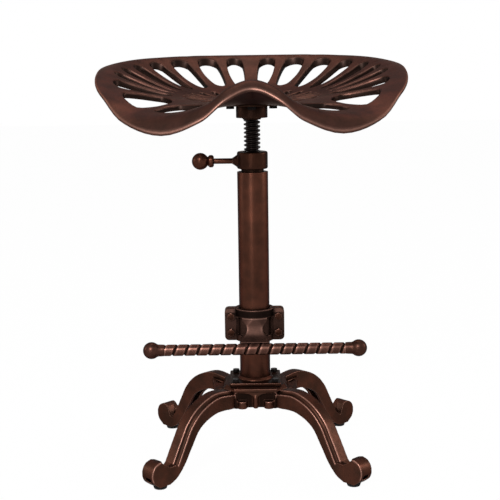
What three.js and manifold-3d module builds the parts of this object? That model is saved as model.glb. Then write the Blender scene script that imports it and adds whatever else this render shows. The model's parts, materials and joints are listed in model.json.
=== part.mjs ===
import * as THREE from 'three';
import { mergeVertices } from 'three/addons/utils/BufferGeometryUtils.js';
import Module from 'manifold-3d';

// Tractor seat stool: four cast legs on a hub, a tube column with a clamped footrest,
// and a pierced pan seat that turns on a lead screw. Millimetres, +Z up, the front of
// the seat towards -Y, the origin on the column's axis at floor level.

// Fits shared by all pieces
const seatGap = 0.3; // between two faces that rest on each other
const boltGap = 0.4; // round a shank in its hole
const overrun = 3; // how far a cutter runs past the face that it cuts
const mergeTolerance = 1e-4;

// Facets
const roundSides = 24;
const smallSides = 12;
const threadSides = 10;
const barSides = 8;
const boltSides = 8;
const hexSides = 6;
const ballRings = 6;
const legArchSteps = 11;
const toeSteps = 8;
const channelSteps = 8;
const coveSteps = 10;
const coveSides = 4;
const earRoundSteps = 4;
const neckSteps = 6;
const webSteps = 6;

// Fasteners
const boltRadius = 3;
const boltHeadRadius = 5.6;
const boltHeadHeight = 4.2;
const seatBoltRadius = 4;
const seatNutRadius = 6.6;
const seatNutHeight = 4.2;
const seatBoltDome = 3.4;
const seatBoltDomeRadius = 8;
const domeShoulderShares = [0.7, 0.75];

// Hub casting
const hubTop = 116;
const hubDepth = 35;
const hubHalf = 47;
const hubWall = 8;
const hubTopWall = 7;
const hubLip = 1.8;
const hubLipDepth = 4;
const apronRibRadius = 4.8;
const apronBossRadius = 5.4;
const apronBossOffset = 22.6;
const apronBossDrop = 14;
const apronScoopRadius = 11;
const apronScoopDepth = 3;
const apronScoopSinkShare = 0.7;
const apronArchRise = 4;

// Scooped webs that join the hub's left and right sides to the leg roots
const webReach = 62; // to the outer edge midway between the legs
const webFlare = 4; // how much further out it meets the legs
const webDrop = 7.5;
const webThickness = 8;
const webScoop = 6;
const webHoleRadius = 3;
const webHoleReach = 53.5;
const webSlotWidth = 4;
const webSlotMargin = 3.5; // between the slot and the leg's side
const webSlotLength = 12;

// Corner castings, counter-clockwise from the front right
const cornerNames = ['front_right', 'rear_right', 'rear_left', 'front_left'];
const cornerAngles = [-45, 45, 135, 225];

// Legs: outlines are shares, [along the leg's span, of the hub's top height]
const legThickness = 23;
const legReach = 215;
const showWall = 9; // depth of the closed face with the scroll filled in
const coveSize = 6;
const channelWidth = 12;
const channelSkin = 6.5;
const toeSlotHeight = 6;
const toeSlotWidth = 9;
const toeSlotDepth = 7;
const footHeight = 5;
const footFlatShares = [0.79, 0.915];
const archShares = [[0, 0.966], [0.2, 0.985], [0.41, 0.878], [0.545, 0.712], [0.631, 0.517], [0.731, 0.263]];
const innerShares = [[0, 0.741], [0.231, 0.745], [0.422, 0.625], [0.53, 0.423], [0.622, 0.228], [0.71, 0.1]];
const toeShares = [[0.98, 0.118], [1, 0.213], [0.967, 0.315], [0.9, 0.353]];
const lipShares = [[0.845, 0.335], [0.822, 0.262], [0.8, 0.193], [0.773, 0.2], [0.757, 0.226]];
const closedLipShares = [[0.85, 0.305], [0.79, 0.258]];
const channelEndShare = 0.7;
const coveEndShare = 0.73;
const rootBoltDrops = [13.5, 24.5];
const rootBoltReach = 13;

// Rubber feet
const padRadius = 10.5;
const padTaper = 1.6;

// Column
const flangeSize = 76;
const flangeThickness = 4.7;
const flangeBoltSpacing = 57.4;
const flangeBeadWidth = 4;
const tubeRadius = 22.5;
const tubeWall = 3;
const tubeLength = 308;
const neckRadius = 16.5;
const neckHeight = 3.8;
const nutDepth = 24;

// Screw and its nut
const screwRadius = 12;
const screwRoot = 9;
const screwPitch = 6;
const threadPlay = 0.75;
const flankPlayShare = 0.08;
const screwCrestShares = [0.3, 0.7];
const screwRise = 71.1; // shown between the neck and the seat's boss
const raiseTurns = 12;
const spigotRadius = 7;
const bushHeight = 10;
const clipThickness = 1.5;
const clipWidth = 3;
const clipGroove = 1;

// Lock collar and its lever
const collarRadius = 22.4;
const collarHeight = 25.2;
const collarRound = 3;
const leverRadius = 4;
const leverHeight = 11.5; // above the collar's underside
const leverBossRadius = 9;
const leverBossReach = 30;
const knobCentre = 75.7;
const knobRadius = 12.2;
const knobNeckRadius = 8.8;
const knobNeckReach = 19.7;
const leverGrip = 8;

// Turned balls: the neck's foot, its widest stretch and where it meets the ball
const knobFootShare = 0.82;
const knobMeetShare = 0.72;
const knobBandShares = [0.3, 0.6];

// Seat mount
const bossRadius = 22.8;
const bossHeight = 17;
const bossNeckRadius = 14.4;
const bossNeckHeight = 3;
const plateRadius = 39.5;
const plateThickness = 3;
const seatBoltCircle = 31;
const seatBoltAngles = [0, 90, 180, 270];

// Pan seat
const seatHalfWidth = 222;
const seatRearDepth = 188.5;
const seatFrontDepth = 190.5;
const seatThickness = 7.8;
const seatRimThickness = 4.6;
const seatRearRise = 58;
const seatFlatMargin = 2.5; // the pan's flat middle past the mounting plate
const ribWidth = 11;
const rimEdgeDrop = 1.5;
const rimEdgeShare = 0.985;
const sectorCount = 24;
const slottedSectors = 10; // to each side of the rear rib
const sectorSteps = 2;
const innerSlotSteps = 2;
const outerSlotSteps = 4;
const ringShare = 0.48;
const bandShare = 0.876;
const bandSteps = 2;
const innerSlotShare = 0.74;
const outerSlotShare = 0.87;
const slotRoundShare = 0.75;
const bowlPower = 1.85;
const rearSquareness = 1.95;
const frontSquareness = 2.75;
const notchShare = 0.095;
const notchSpread = 9.3;

// How far the pan rises at the inside of its rim band and at its edge, by degrees from
// the rear: high at the back, falling to the thighs, with a raised pommel between them
const bandRiseShares = [
  [0, 0.96], [30, 0.98], [60, 0.87], [90, 0.59], [121, 0.09],
  [134, -0.24], [150, -0.26], [163, -0.02], [171, 0.33], [180, 0.48],
];
const rimRiseShares = [
  [0, 1], [30, 0.89], [60, 0.88], [90, 0.67], [121, 0.15],
  [134, -0.36], [150, -0.66], [163, -0.36], [171, 0], [180, 0.33],
];

// Footrest
const clampHeight = 48;
const clampDrop = 201.4; // from the tube's top to the clamp's
const clampWall = 6.3;
const earReach = 44;
const earThickness = 9;
const earGap = 1.5;
const earRound = 6;
const earBoltOffset = 35;
const earBoltSpacing = 24;
const bandHeight = 13;
const pocketDepth = 3.6;
const pocketFloor = 9;
const neckTopHalf = 17;
const neckWaistHalf = 11.6;
const neckFootHalf = 18.8;
const barStandoff = 50;
const barDrop = 52; // below the clamp's top
const barRadius = 7.9;
const barGroove = 1.7;
const barPitch = 17.3;
const barCrownShares = [0.3, 0.7];
const barHalf = 138;
const barKnobCentre = 150;
const barKnobRadius = 12.2;
const barKnobNeck = 8.6;
const barSocket = 7;
const barSpigotRadius = 5; // the plain end that each knob sits on

// Derived heights and places
const degree = Math.PI / 180;
const hubBottom = hubTop - hubDepth;
const hubDiagonal = legThickness / 2 + seatGap;
const hubCut = hubDiagonal * Math.SQRT2;
const hubReach = (2 * hubHalf - hubCut) / Math.SQRT2;
const legRoot = hubReach + seatGap;
const legSpan = legReach - legRoot;
const padCentre = legRoot + legSpan * (footFlatShares[0] + footFlatShares[1]) / 2;
const flangeBottom = hubTop + seatGap;
const flangeTop = flangeBottom + flangeThickness;
const tubeBottom = flangeTop + seatGap;
const tubeTop = tubeBottom + tubeLength;
const tubeInner = tubeRadius - tubeWall;
const neckTop = tubeTop + neckHeight;
const bossBottom = neckTop + screwRise;
const bossTop = bossBottom + bossNeckHeight + bossHeight;
const plateBottom = bossTop + seatGap;
const plateTop = plateBottom + plateThickness;
const seatFloor = plateTop + seatGap + seatThickness;
const seatFlatRadius = plateRadius + seatFlatMargin;
const discShare = seatFlatRadius / Math.min(seatHalfWidth, seatRearDepth, seatFrontDepth);
const nutBottom = tubeTop - nutDepth;
const threadBottom = nutBottom - raiseTurns * screwPitch;
const collarBottom = neckTop + seatGap;
const clampTop = tubeTop - clampDrop;
const clampBottom = clampTop - clampHeight;
const clampInner = tubeRadius + seatGap;
const clampOuter = clampInner + clampWall;
const barHeight = clampTop - barDrop;

// Library for joins and cuts
const wasm = await Module();
wasm.setup();

// Turns a closed three.js geometry into a solid
function solid(geometry) {
  const bare = geometry.index ? geometry.toNonIndexed() : geometry.clone();
  for (const name of Object.keys(bare.attributes)) if (name !== 'position') bare.deleteAttribute(name);
  const merged = mergeVertices(bare, mergeTolerance);
  const corners = merged.index.array;
  const faces = [];
  for (let i = 0; i < corners.length; i += 3) {
    const [a, b, c] = corners.slice(i, i + 3);
    if (a !== b && b !== c && c !== a) faces.push(a, b, c);
  }
  const vertProperties = new Float32Array(merged.attributes.position.array);
  const mesh = new wasm.Mesh({ numProp: 3, vertProperties, triVerts: new Uint32Array(faces) });
  return new wasm.Manifold(mesh);
}

function toGeometry(body) {
  const mesh = body.getMesh();
  const geometry = new THREE.BufferGeometry();
  geometry.setAttribute('position', new THREE.BufferAttribute(new Float32Array(mesh.vertProperties), 3));
  geometry.setIndex(new THREE.BufferAttribute(new Uint32Array(mesh.triVerts), 1));
  const flat = geometry.toNonIndexed();
  flat.computeVertexNormals();
  return flat;
}

function joined(first, ...others) {
  return others.reduce((whole, other) => whole.add(other), first);
}

function cut(first, ...others) {
  return others.reduce((whole, other) => whole.subtract(other), first);
}

// Basic forms, as geometry in the part's own frame
function turned(profile, sides = roundSides) {
  const points = profile.map(([radius, height]) => new THREE.Vector2(radius, height));
  return new THREE.LatheGeometry(points, sides).rotateX(Math.PI / 2);
}

function disc(radius, bottom, top, sides = roundSides) {
  return turned([[0, bottom], [radius, bottom], [radius, top], [0, top]], sides);
}

function sleeve(outer, inner, bottom, top, sides = roundSides) {
  return turned([[inner, bottom], [outer, bottom], [outer, top], [inner, top], [inner, bottom]], sides);
}

function block(low, high) {
  const size = high.map((value, i) => value - low[i]);
  const box = new THREE.BoxGeometry(...size);
  return box.translate(...low.map((value, i) => value + size[i] / 2));
}

function prism(points, depth) {
  const shape = new THREE.Shape(points.map(([x, y]) => new THREE.Vector2(x, y)));
  return new THREE.ExtrudeGeometry(shape, { depth, bevelEnabled: false, steps: 1 });
}

function alongX(geometry) {
  return geometry.rotateY(Math.PI / 2);
}

function alongY(geometry) {
  return geometry.rotateX(-Math.PI / 2);
}

// Points along a smooth line through chosen ones
function smooth(points, steps) {
  const spots = points.map(([x, y]) => new THREE.Vector3(x, y, 0));
  const curve = new THREE.CatmullRomCurve3(spots, false, 'centripetal');
  return curve.getPoints(steps).map((point) => [point.x, point.y]);
}

// A rod with a helical profile: one start, right-handed, trimmed square at both ends.
// The profile lists [share of the pitch, radius] once round the pitch.
function helicalRod(profile, pitch, bottom, top, sides) {
  const count = profile.length;
  const start = (Math.floor(bottom / pitch) - 2) * pitch; // so that nut and screw are in step
  const turns = Math.ceil((top - start) / pitch) + 1;
  const last = count * turns;
  const corner = (line, side) => {
    const row = line + count * Math.floor(side / sides);
    const angle = ((side % sides) / sides) * 2 * Math.PI;
    const [share, radius] = profile[row % count];
    const height = start + pitch * (Math.floor(row / count) + share + (side % sides) / sides);
    return [radius * Math.cos(angle), radius * Math.sin(angle), height];
  };
  const faces = [];
  for (let line = 0; line < last; line += 1) {
    for (let side = 0; side < sides; side += 1) {
      const [a, b] = [corner(line, side), corner(line, side + 1)];
      const [c, d] = [corner(line + 1, side + 1), corner(line + 1, side)];
      faces.push(a, b, c, a, c, d);
    }
  }
  for (const [line, flip] of [[0, false], [last, true]]) {
    const loop = [];
    for (let side = 0; side <= sides; side += 1) loop.push(corner(line, side));
    for (let step = count - 1; step > 0; step -= 1) loop.push(corner(line + step, 0));
    const hub = [0, 0, loop[0][2] + pitch / 2];
    loop.forEach((point, i) => {
      const next = loop[(i + 1) % loop.length];
      faces.push(...(flip ? [hub, point, next] : [hub, next, point]));
    });
  }
  const geometry = new THREE.BufferGeometry();
  geometry.setAttribute('position', new THREE.Float32BufferAttribute(faces.flat(), 3));
  const limit = Math.max(...profile.map(([, radius]) => radius)) * 2;
  return solid(geometry).intersect(solid(disc(limit, bottom, top, sides)));
}

// Hex bolt pointing along -Z with its head's seat at height 0
function hexBolt(radius, headRadius, headHeight, length) {
  const shank = solid(disc(radius, -length, headHeight / 2, hexSides));
  return shank.add(solid(disc(headRadius, 0, headHeight, hexSides)));
}

function hexNut(radius, bore, height) {
  const hole = disc(bore, -overrun, height + overrun, boltSides);
  return solid(disc(radius, 0, height, hexSides)).subtract(solid(hole));
}

// Materials, one for each finish
const finishes = {
  bronze: { color: 0x4a2c20, roughness: 0.45, metalness: 0.8 },
  darkBronze: { color: 0x33211a, roughness: 0.45, metalness: 0.8 },
  blackSteel: { color: 0x141414, roughness: 0.5, metalness: 0.7 },
  rubber: { color: 0x0d0d0d, roughness: 0.85, metalness: 0 },
};

const stool = new THREE.Group();

function place(name, finish, body, parent = stool) {
  const mesh = new THREE.Mesh(toGeometry(body), new THREE.MeshStandardMaterial(finishes[finish]));
  mesh.name = name;
  parent.add(mesh);
  return mesh;
}

// Hub

function octagon(half, cornerCut) {
  const inner = half - cornerCut;
  return [
    [half, -inner], [half, inner], [inner, half], [-inner, half],
    [-half, inner], [-half, -inner], [-inner, -half], [inner, -half],
  ];
}

function hubShell() {
  const body = solid(prism(octagon(hubHalf, hubCut), hubDepth).translate(0, 0, hubBottom));
  const lip = prism(octagon(hubHalf + hubLip, hubCut + 2 * hubLip), hubLipDepth);
  const hollow = prism(octagon(hubHalf - hubWall, hubCut - hubWall * (2 - Math.SQRT2)), hubDepth);
  const web = hubWeb();
  const whole = joined(
    body, solid(lip.translate(0, 0, hubTop - hubLipDepth)), ...apronRibs(), web, web.rotate([0, 0, 180]),
  );
  const bay = solid(hollow.translate(0, 0, hubTop - hubTopWall - hubDepth));
  return cut(whole, bay, ...apronScoops(), ...hubHoles());
}

// The cast ribs that hang on the hub's front and rear, drawn for the front
function apronRibs() {
  const ribs = [];
  const lipUnderside = hubTop - hubLipDepth;
  for (const turn of [0, Math.PI]) {
    const parts = [disc(apronRibRadius, hubBottom, lipUnderside, boltSides).translate(0, -hubHalf, 0)];
    for (const way of [-1, 1]) {
      const boss = disc(apronBossRadius, hubBottom, lipUnderside - apronBossDrop, boltSides);
      parts.push(boss.translate(way * apronBossOffset, -hubHalf, 0));
    }
    for (const part of parts) ribs.push(solid(part.rotateZ(turn)));
  }
  return ribs;
}

// The hollows above the bosses and the arches between them
function apronScoops() {
  const scoops = [];
  const between = (apronBossOffset + apronRibRadius - apronBossRadius) / 2;
  const scoopHeight = hubTop - hubLipDepth - apronScoopRadius * apronScoopSinkShare;
  for (const turn of [0, Math.PI]) {
    for (const way of [-1, 1]) {
      const bay = alongY(disc(apronScoopRadius, 0, overrun + apronScoopDepth, threadSides));
      const arch = alongY(disc(apronArchRise, -hubWall, overrun + hubWall, boltSides));
      for (const part of [
        bay.translate(way * apronBossOffset / 2, -hubHalf - overrun, scoopHeight),
        arch.translate(way * between, -hubHalf, hubBottom),
      ]) scoops.push(solid(part.rotateZ(turn)));
    }
  }
  return scoops;
}

// The right-hand web: a plan with a hollow outer edge crossed with a sagging side view
function hubWeb() {
  const root = hubHalf - hubWall / 2;
  const end = webReach + webFlare;
  const edge = smooth([[end, hubCut - end], [webReach, 0], [end, end - hubCut]], webSteps);
  const plan = prism([[root, hubCut - root], ...edge, [root, root - hubCut]], hubDepth);
  const top = hubTop - webDrop;
  const sag = smooth([[hubCut - end, top], [0, top - webScoop], [end - hubCut, top]], webSteps);
  const side = prism([...sag.map(([y, z]) => [y, z - webThickness]), ...sag.reverse()], end);
  const body = solid(plan.translate(0, 0, hubBottom)).intersect(
    solid(side.rotateX(Math.PI / 2).rotateZ(Math.PI / 2)),
  );
  const hole = disc(webHoleRadius, hubBottom, hubTop, boltSides).translate(webHoleReach, 0, 0);
  const slotNear = hubDiagonal + webSlotMargin;
  const slotEnd = legRoot + webSlotLength;
  const slot = solid(block([legRoot, slotNear, hubBottom], [slotEnd, slotNear + webSlotWidth, hubTop]));
  const frontSlot = slot.rotate([0, 0, cornerAngles[0]]);
  return cut(body, solid(hole), frontSlot, frontSlot.mirror([0, 1, 0]));
}

function hubHoles() {
  const holes = [];
  const half = flangeBoltSpacing / 2;
  for (const x of [-half, half]) {
    for (const y of [-half, half]) {
      const hole = disc(boltRadius + boltGap, hubTop - hubTopWall - overrun, hubTop + overrun, boltSides);
      holes.push(solid(hole.translate(x, y, 0)));
    }
  }
  for (const angle of cornerAngles) {
    for (const drop of rootBoltDrops) {
      const hole = alongX(disc(boltRadius + boltGap, 0, hubWall + 2 * overrun, boltSides));
      hole.translate(hubReach - hubWall - overrun, 0, hubTop - drop);
      holes.push(solid(hole.rotateZ(angle * degree)));
    }
  }
  return holes;
}

// Legs, drawn in a plane with x along the leg and y up

function legPoint([along, up]) {
  return [legRoot + along * legSpan, up * hubTop];
}

function legOutline(closed) {
  const arch = smooth(archShares.map(legPoint), legArchSteps);
  const flat = footFlatShares.map((share) => [legRoot + share * legSpan, footHeight]);
  const inner = smooth([...innerShares.map(legPoint), flat[0]], legArchSteps);
  const lip = (closed ? closedLipShares : lipShares).map(legPoint);
  const toe = smooth([flat[1], ...toeShares.map(legPoint), lip[0]], toeSteps);
  return [...inner, ...toe, ...lip.slice(1), ...arch.reverse()];
}

// The channel that opens along the leg's inner face
function channelOutline() {
  const end = legRoot + channelEndShare * legSpan;
  const line = (shares) => smooth(shares.slice(1).map(legPoint), channelSteps).filter(([x]) => x < end);
  const mouth = line(innerShares).map(([x, y]) => [x - overrun, y - overrun]);
  const roof = line(archShares).map(([x, y]) => [x - channelSkin, y - channelSkin]);
  return [...mouth, ...roof.reverse()];
}

// A hollow moulding along the outer corner of the show face
function coveCutter() {
  const path = archShares.slice(0, -1).map(legPoint);
  const stop = legPoint([coveEndShare, archShares.at(-1)[1]]);
  const points = [[path[0][0] - overrun, path[0][1]], ...path, stop];
  const curve = new THREE.CatmullRomCurve3(points.map(([x, y]) => new THREE.Vector3(x, y, 0)));
  const section = new THREE.Shape();
  section.absarc(0, 0, coveSize, 0, 2 * Math.PI);
  const sweep = { steps: coveSteps, curveSegments: coveSides, extrudePath: curve, bevelEnabled: false };
  return solid(new THREE.ExtrudeGeometry(section, sweep)).translate([0, 0, legThickness]);
}

function legBody(mirrored) {
  const plainDepth = legThickness - showWall;
  const plain = solid(prism(legOutline(false), plainDepth));
  const show = solid(prism(legOutline(true), showWall).translate(0, 0, plainDepth));
  const channel = prism(channelOutline(), channelWidth).translate(0, 0, (legThickness - channelWidth) / 2);
  const [toeX, toeY] = legPoint(toeShares[0]);
  const toeSlot = block(
    [toeX - toeSlotDepth, toeY - toeSlotHeight / 2, (legThickness - toeSlotWidth) / 2],
    [toeX + toeSlotDepth, toeY + toeSlotHeight / 2, (legThickness + toeSlotWidth) / 2],
  );
  const holes = rootBoltDrops.map((drop) => {
    const hole = alongX(disc(boltRadius + boltGap, 0, rootBoltReach + overrun, boltSides));
    return solid(hole.translate(legRoot - overrun, hubTop - drop, legThickness / 2));
  });
  const whole = cut(plain.add(show), solid(channel), solid(toeSlot), coveCutter(), ...holes);
  const centred = whole.translate([0, 0, -legThickness / 2]);
  const standing = centred.rotate([90, 0, 0]);
  return mirrored ? standing.mirror([0, 1, 0]) : standing;
}

function legs() {
  cornerNames.forEach((name, corner) => {
    const turn = new THREE.Group();
    turn.rotation.z = cornerAngles[corner] * degree;
    stool.add(turn);
    place(`leg_${name}`, 'bronze', legBody(corner % 2 === 1), turn); // show faces to front and rear
    const padTop = footHeight - seatGap;
    const pad = turned([[0, 0], [padRadius - padTaper, 0], [padRadius, padTop], [0, padTop]], smallSides);
    place(`foot_pad_${name}`, 'rubber', solid(pad.translate(padCentre, 0, 0)), turn);
    rootBoltDrops.forEach((drop, i) => {
      const length = hubWall + rootBoltReach - boltGap;
      const bolt = hexBolt(boltRadius, boltHeadRadius, boltHeadHeight, length).rotate([0, -90, 0]);
      const seat = hubReach - hubWall - seatGap;
      place(`leg_bolt_${name}_${i + 1}`, 'blackSteel', bolt.translate([seat, 0, hubTop - drop]), turn);
    });
  });
}

// Column

function flangePlate() {
  const half = flangeSize / 2;
  const plate = solid(block([-half, -half, flangeBottom], [half, half, flangeTop]));
  const beadInner = tubeRadius + seatGap;
  const bead = turned([
    [beadInner, flangeTop - seatGap], [beadInner + flangeBeadWidth, flangeTop - seatGap],
    [beadInner + flangeBeadWidth, flangeTop + seatGap], [beadInner + seatGap, flangeTop + flangeBeadWidth],
    [beadInner, flangeTop + flangeBeadWidth], [beadInner, flangeTop - seatGap],
  ]);
  const spots = flangeBolts();
  const holes = spots.map(([x, y]) => {
    const hole = disc(boltRadius + boltGap, flangeBottom - overrun, flangeTop + overrun, boltSides);
    return solid(hole.translate(x, y, 0));
  });
  return cut(plate.add(solid(bead)), ...holes);
}

function flangeBolts() {
  const half = flangeBoltSpacing / 2;
  return [[-half, -half], [half, -half], [half, half], [-half, half]];
}

function screwProfile(play) {
  const [start, end] = screwCrestShares;
  const side = play > 0 ? flankPlayShare : 0;
  return [[0, screwRoot + play], [start - side, screwRadius + play], [end + side, screwRadius + play]];
}

function column() {
  place('column_flange', 'bronze', flangePlate());
  flangeBolts().forEach(([x, y], i) => {
    const length = flangeThickness + 2 * seatGap + hubTopWall;
    const bolt = hexBolt(boltRadius, boltHeadRadius, boltHeadHeight, length);
    place(`flange_bolt_${i + 1}`, 'blackSteel', bolt.translate([x, y, flangeTop + seatGap]));
  });
  place('column_tube', 'bronze', solid(sleeve(tubeRadius, tubeInner, tubeBottom, tubeTop)));
  const nut = turned([
    [0, nutBottom], [tubeInner - seatGap, nutBottom], [tubeInner - seatGap, tubeTop],
    [neckRadius, tubeTop], [neckRadius, neckTop], [0, neckTop],
  ]);
  const bore = screwProfile(threadPlay);
  const thread = helicalRod(bore, screwPitch, nutBottom - overrun, neckTop + overrun, threadSides);
  place('column_nut', 'darkBronze', solid(nut).subtract(thread));
}

// Screw, its guide bush and the lock collar

function screwAndBush() {
  const thread = helicalRod(screwProfile(0), screwPitch, threadBottom, bossBottom, threadSides);
  const bushTop = threadBottom - seatGap;
  const bushBottom = bushTop - bushHeight;
  const clipTop = bushBottom - seatGap;
  const clipBottom = clipTop - clipThickness;
  const grooveRadius = spigotRadius - clipGroove;
  const spigot = turned([
    [0, clipBottom - clipWidth], [spigotRadius, clipBottom - clipWidth],
    [spigotRadius, clipBottom - seatGap], [grooveRadius, clipBottom - seatGap],
    [grooveRadius, clipTop + seatGap / 2], [spigotRadius, clipTop + seatGap / 2],
    [spigotRadius, threadBottom + screwPitch], [0, threadBottom + screwPitch],
  ], smallSides);
  const tang = disc(spigotRadius, bossBottom - screwPitch, bossTop - seatGap, smallSides);
  place('seat_screw', 'blackSteel', joined(thread, solid(spigot), solid(tang)));
  const bush = sleeve(tubeInner - seatGap, spigotRadius + seatGap, bushBottom, bushTop);
  place('screw_guide_bush', 'blackSteel', solid(bush));
  const clip = sleeve(spigotRadius + clipWidth, grooveRadius + seatGap, clipBottom, clipTop, smallSides);
  const mouthHalf = grooveRadius / 2;
  const mouth = block([0, -mouthHalf, clipBottom - overrun], [2 * screwRadius, mouthHalf, clipTop + overrun]);
  place('bush_clip', 'blackSteel', solid(clip).subtract(solid(mouth)));
}

function lockCollar() {
  const bore = screwRadius + boltGap;
  const top = collarBottom + collarHeight;
  const round = collarRound;
  const profile = [
    [bore, collarBottom], [collarRadius - round, collarBottom], [collarRadius, collarBottom + round],
    [collarRadius, top - round], [collarRadius - round, top], [bore, top], [bore, collarBottom],
  ];
  const leverZ = collarBottom + leverHeight;
  const boss = turned([
    [0, bore + round], [leverBossRadius, bore + round], [leverBossRadius, collarRadius - round / 2],
    [leverRadius + round / 2, leverBossReach], [0, leverBossReach],
  ], smallSides);
  const hole = disc(leverRadius + seatGap, leverBossReach - leverGrip, leverBossReach + overrun, smallSides);
  const toLever = (geometry) => solid(geometry.rotateY(-Math.PI / 2).translate(0, 0, leverZ));
  place('lock_collar', 'bronze', cut(solid(turned(profile)).add(toLever(boss)), toLever(hole)));
  const rodEnd = knobCentre - knobNeckReach + leverGrip;
  const rod = disc(leverRadius, leverBossReach - leverGrip + seatGap, rodEnd, smallSides);
  place('lock_lever_rod', 'bronze', toLever(rod));
  place('lock_lever_knob', 'bronze', toLever(ballKnob({
    centre: knobCentre, radius: knobRadius, neck: knobNeckRadius, neckStart: knobCentre - knobNeckReach,
    bore: leverRadius + seatGap, boreEnd: rodEnd + seatGap,
  })));
}

// A turned ball with a stepped neck and a blind bore, along +Z
function ballKnob({ centre, radius, neck, neckStart, bore, boreEnd }) {
  const meetRadius = neck * knobMeetShare;
  const meet = centre - Math.sqrt(radius ** 2 - meetRadius ** 2);
  const band = knobBandShares.map((share) => [neck, neckStart + (meet - neckStart) * share]);
  const profile = [
    [0, boreEnd], [bore, boreEnd], [bore, neckStart], [neck * knobFootShare, neckStart], ...band,
    [meetRadius, meet],
  ];
  const from = Math.acos((centre - meet) / radius);
  for (let ring = 1; ring <= ballRings; ring += 1) {
    const angle = from + (Math.PI - from) * ring / ballRings;
    profile.push([ring === ballRings ? 0 : radius * Math.sin(angle), centre - radius * Math.cos(angle)]);
  }
  return turned(profile, smallSides);
}

// Seat mount and pan

function seatMount() {
  const boss = turned([
    [0, bossBottom + seatGap], [bossNeckRadius - bossNeckHeight / 2, bossBottom + seatGap],
    [bossNeckRadius, bossBottom + bossNeckHeight], [bossRadius, bossBottom + bossNeckHeight],
    [bossRadius, bossTop], [0, bossTop],
  ]);
  const socket = disc(spigotRadius + seatGap, bossBottom - overrun, bossTop + overrun, smallSides);
  place('seat_boss', 'darkBronze', solid(boss).subtract(solid(socket)));
  const spots = seatBoltAngles.map((angle) => [
    seatBoltCircle * Math.cos(angle * degree), seatBoltCircle * Math.sin(angle * degree),
  ]);
  const holes = spots.map(([x, y]) => {
    const hole = disc(seatBoltRadius + boltGap, plateBottom - overrun, seatFloor + overrun, boltSides);
    return solid(hole.translate(x, y, 0));
  });
  place('seat_mount_plate', 'darkBronze', cut(solid(disc(plateRadius, plateBottom, plateTop)), ...holes));
  place('seat_pan', 'bronze', cut(solid(panGeometry()), ...holes));
  const [shoulder, shoulderRise] = domeShoulderShares;
  spots.forEach(([x, y], i) => {
    const dome = turned([
      [0, 0], [seatBoltDomeRadius, 0], [seatBoltDomeRadius, seatGap],
      [seatBoltDomeRadius * shoulder, seatBoltDome * shoulderRise], [0, seatBoltDome],
    ], smallSides);
    const reach = seatFloor + seatGap - plateBottom + seatGap + seatNutHeight;
    const bolt = solid(dome).add(solid(disc(seatBoltRadius, -reach, seatBoltDome / 2, boltSides)));
    place(`seat_bolt_${i + 1}`, 'bronze', bolt.translate([x, y, seatFloor + seatGap]));
    const nut = hexNut(seatNutRadius, seatBoltRadius + seatGap, seatNutHeight);
    place(`seat_nut_${i + 1}`, 'blackSteel', nut.translate([x, y, plateBottom - seatGap - seatNutHeight]));
  });
}

// Reads a table of [degrees, share] with a smooth line through its points
function shareAt(table, degrees) {
  const i = Math.max(1, table.findIndex(([at]) => at >= degrees));
  const slope = (k) => {
    if (k <= 0 || k >= table.length - 1) return 0;
    return (table[k + 1][1] - table[k - 1][1]) / (table[k + 1][0] - table[k - 1][0]);
  };
  const [[x0, y0], [x1, y1]] = [table[i - 1], table[i]];
  const width = x1 - x0;
  const t = (degrees - x0) / width;
  const rise = y1 - y0;
  const start = slope(i - 1) * width;
  const end = slope(i) * width;
  return y0 + start * t + (3 * rise - 2 * start - end) * t ** 2 + (start + end - 2 * rise) * t ** 3;
}

// A place on the pan's top and the casting's thickness there: turn in degrees from the
// rear rib, and share of the way out
function panPoint(turn, share) {
  const degrees = Math.abs(turn > 180 ? turn - 360 : turn);
  const angle = turn * degree;
  const [sine, cosine] = [Math.sin(angle), Math.cos(angle)];
  const power = frontSquareness + (rearSquareness - frontSquareness) * (1 + cosine) / 2;
  const bulge = (Math.abs(sine) ** power + Math.abs(cosine) ** power) ** (-1 / power);
  const notch = 1 - notchShare * Math.exp(-(((180 - degrees) / notchSpread) ** 2));
  const depth = cosine > 0 ? seatRearDepth : seatFrontDepth;
  const reach = share * bulge * (1 + (notch - 1) * Math.min(1, share / bandShare));
  const inner = shareAt(bandRiseShares, degrees) * seatRearRise;
  const rim = shareAt(rimRiseShares, degrees) * seatRearRise;
  let rise = inner * Math.max(0, (share - discShare) / (bandShare - discShare)) ** bowlPower;
  let thickness = seatThickness;
  if (share > bandShare) {
    const t = (share - bandShare) / (1 - bandShare);
    const start = inner * bowlPower * (1 - bandShare) / (bandShare - discShare);
    rise = inner + start * t + (rim - inner - start) * t ** 2;
    thickness += (seatRimThickness - seatThickness) * t;
  }
  return [-seatHalfWidth * sine * reach, depth * cosine * reach, seatFloor + rise, thickness];
}

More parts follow.
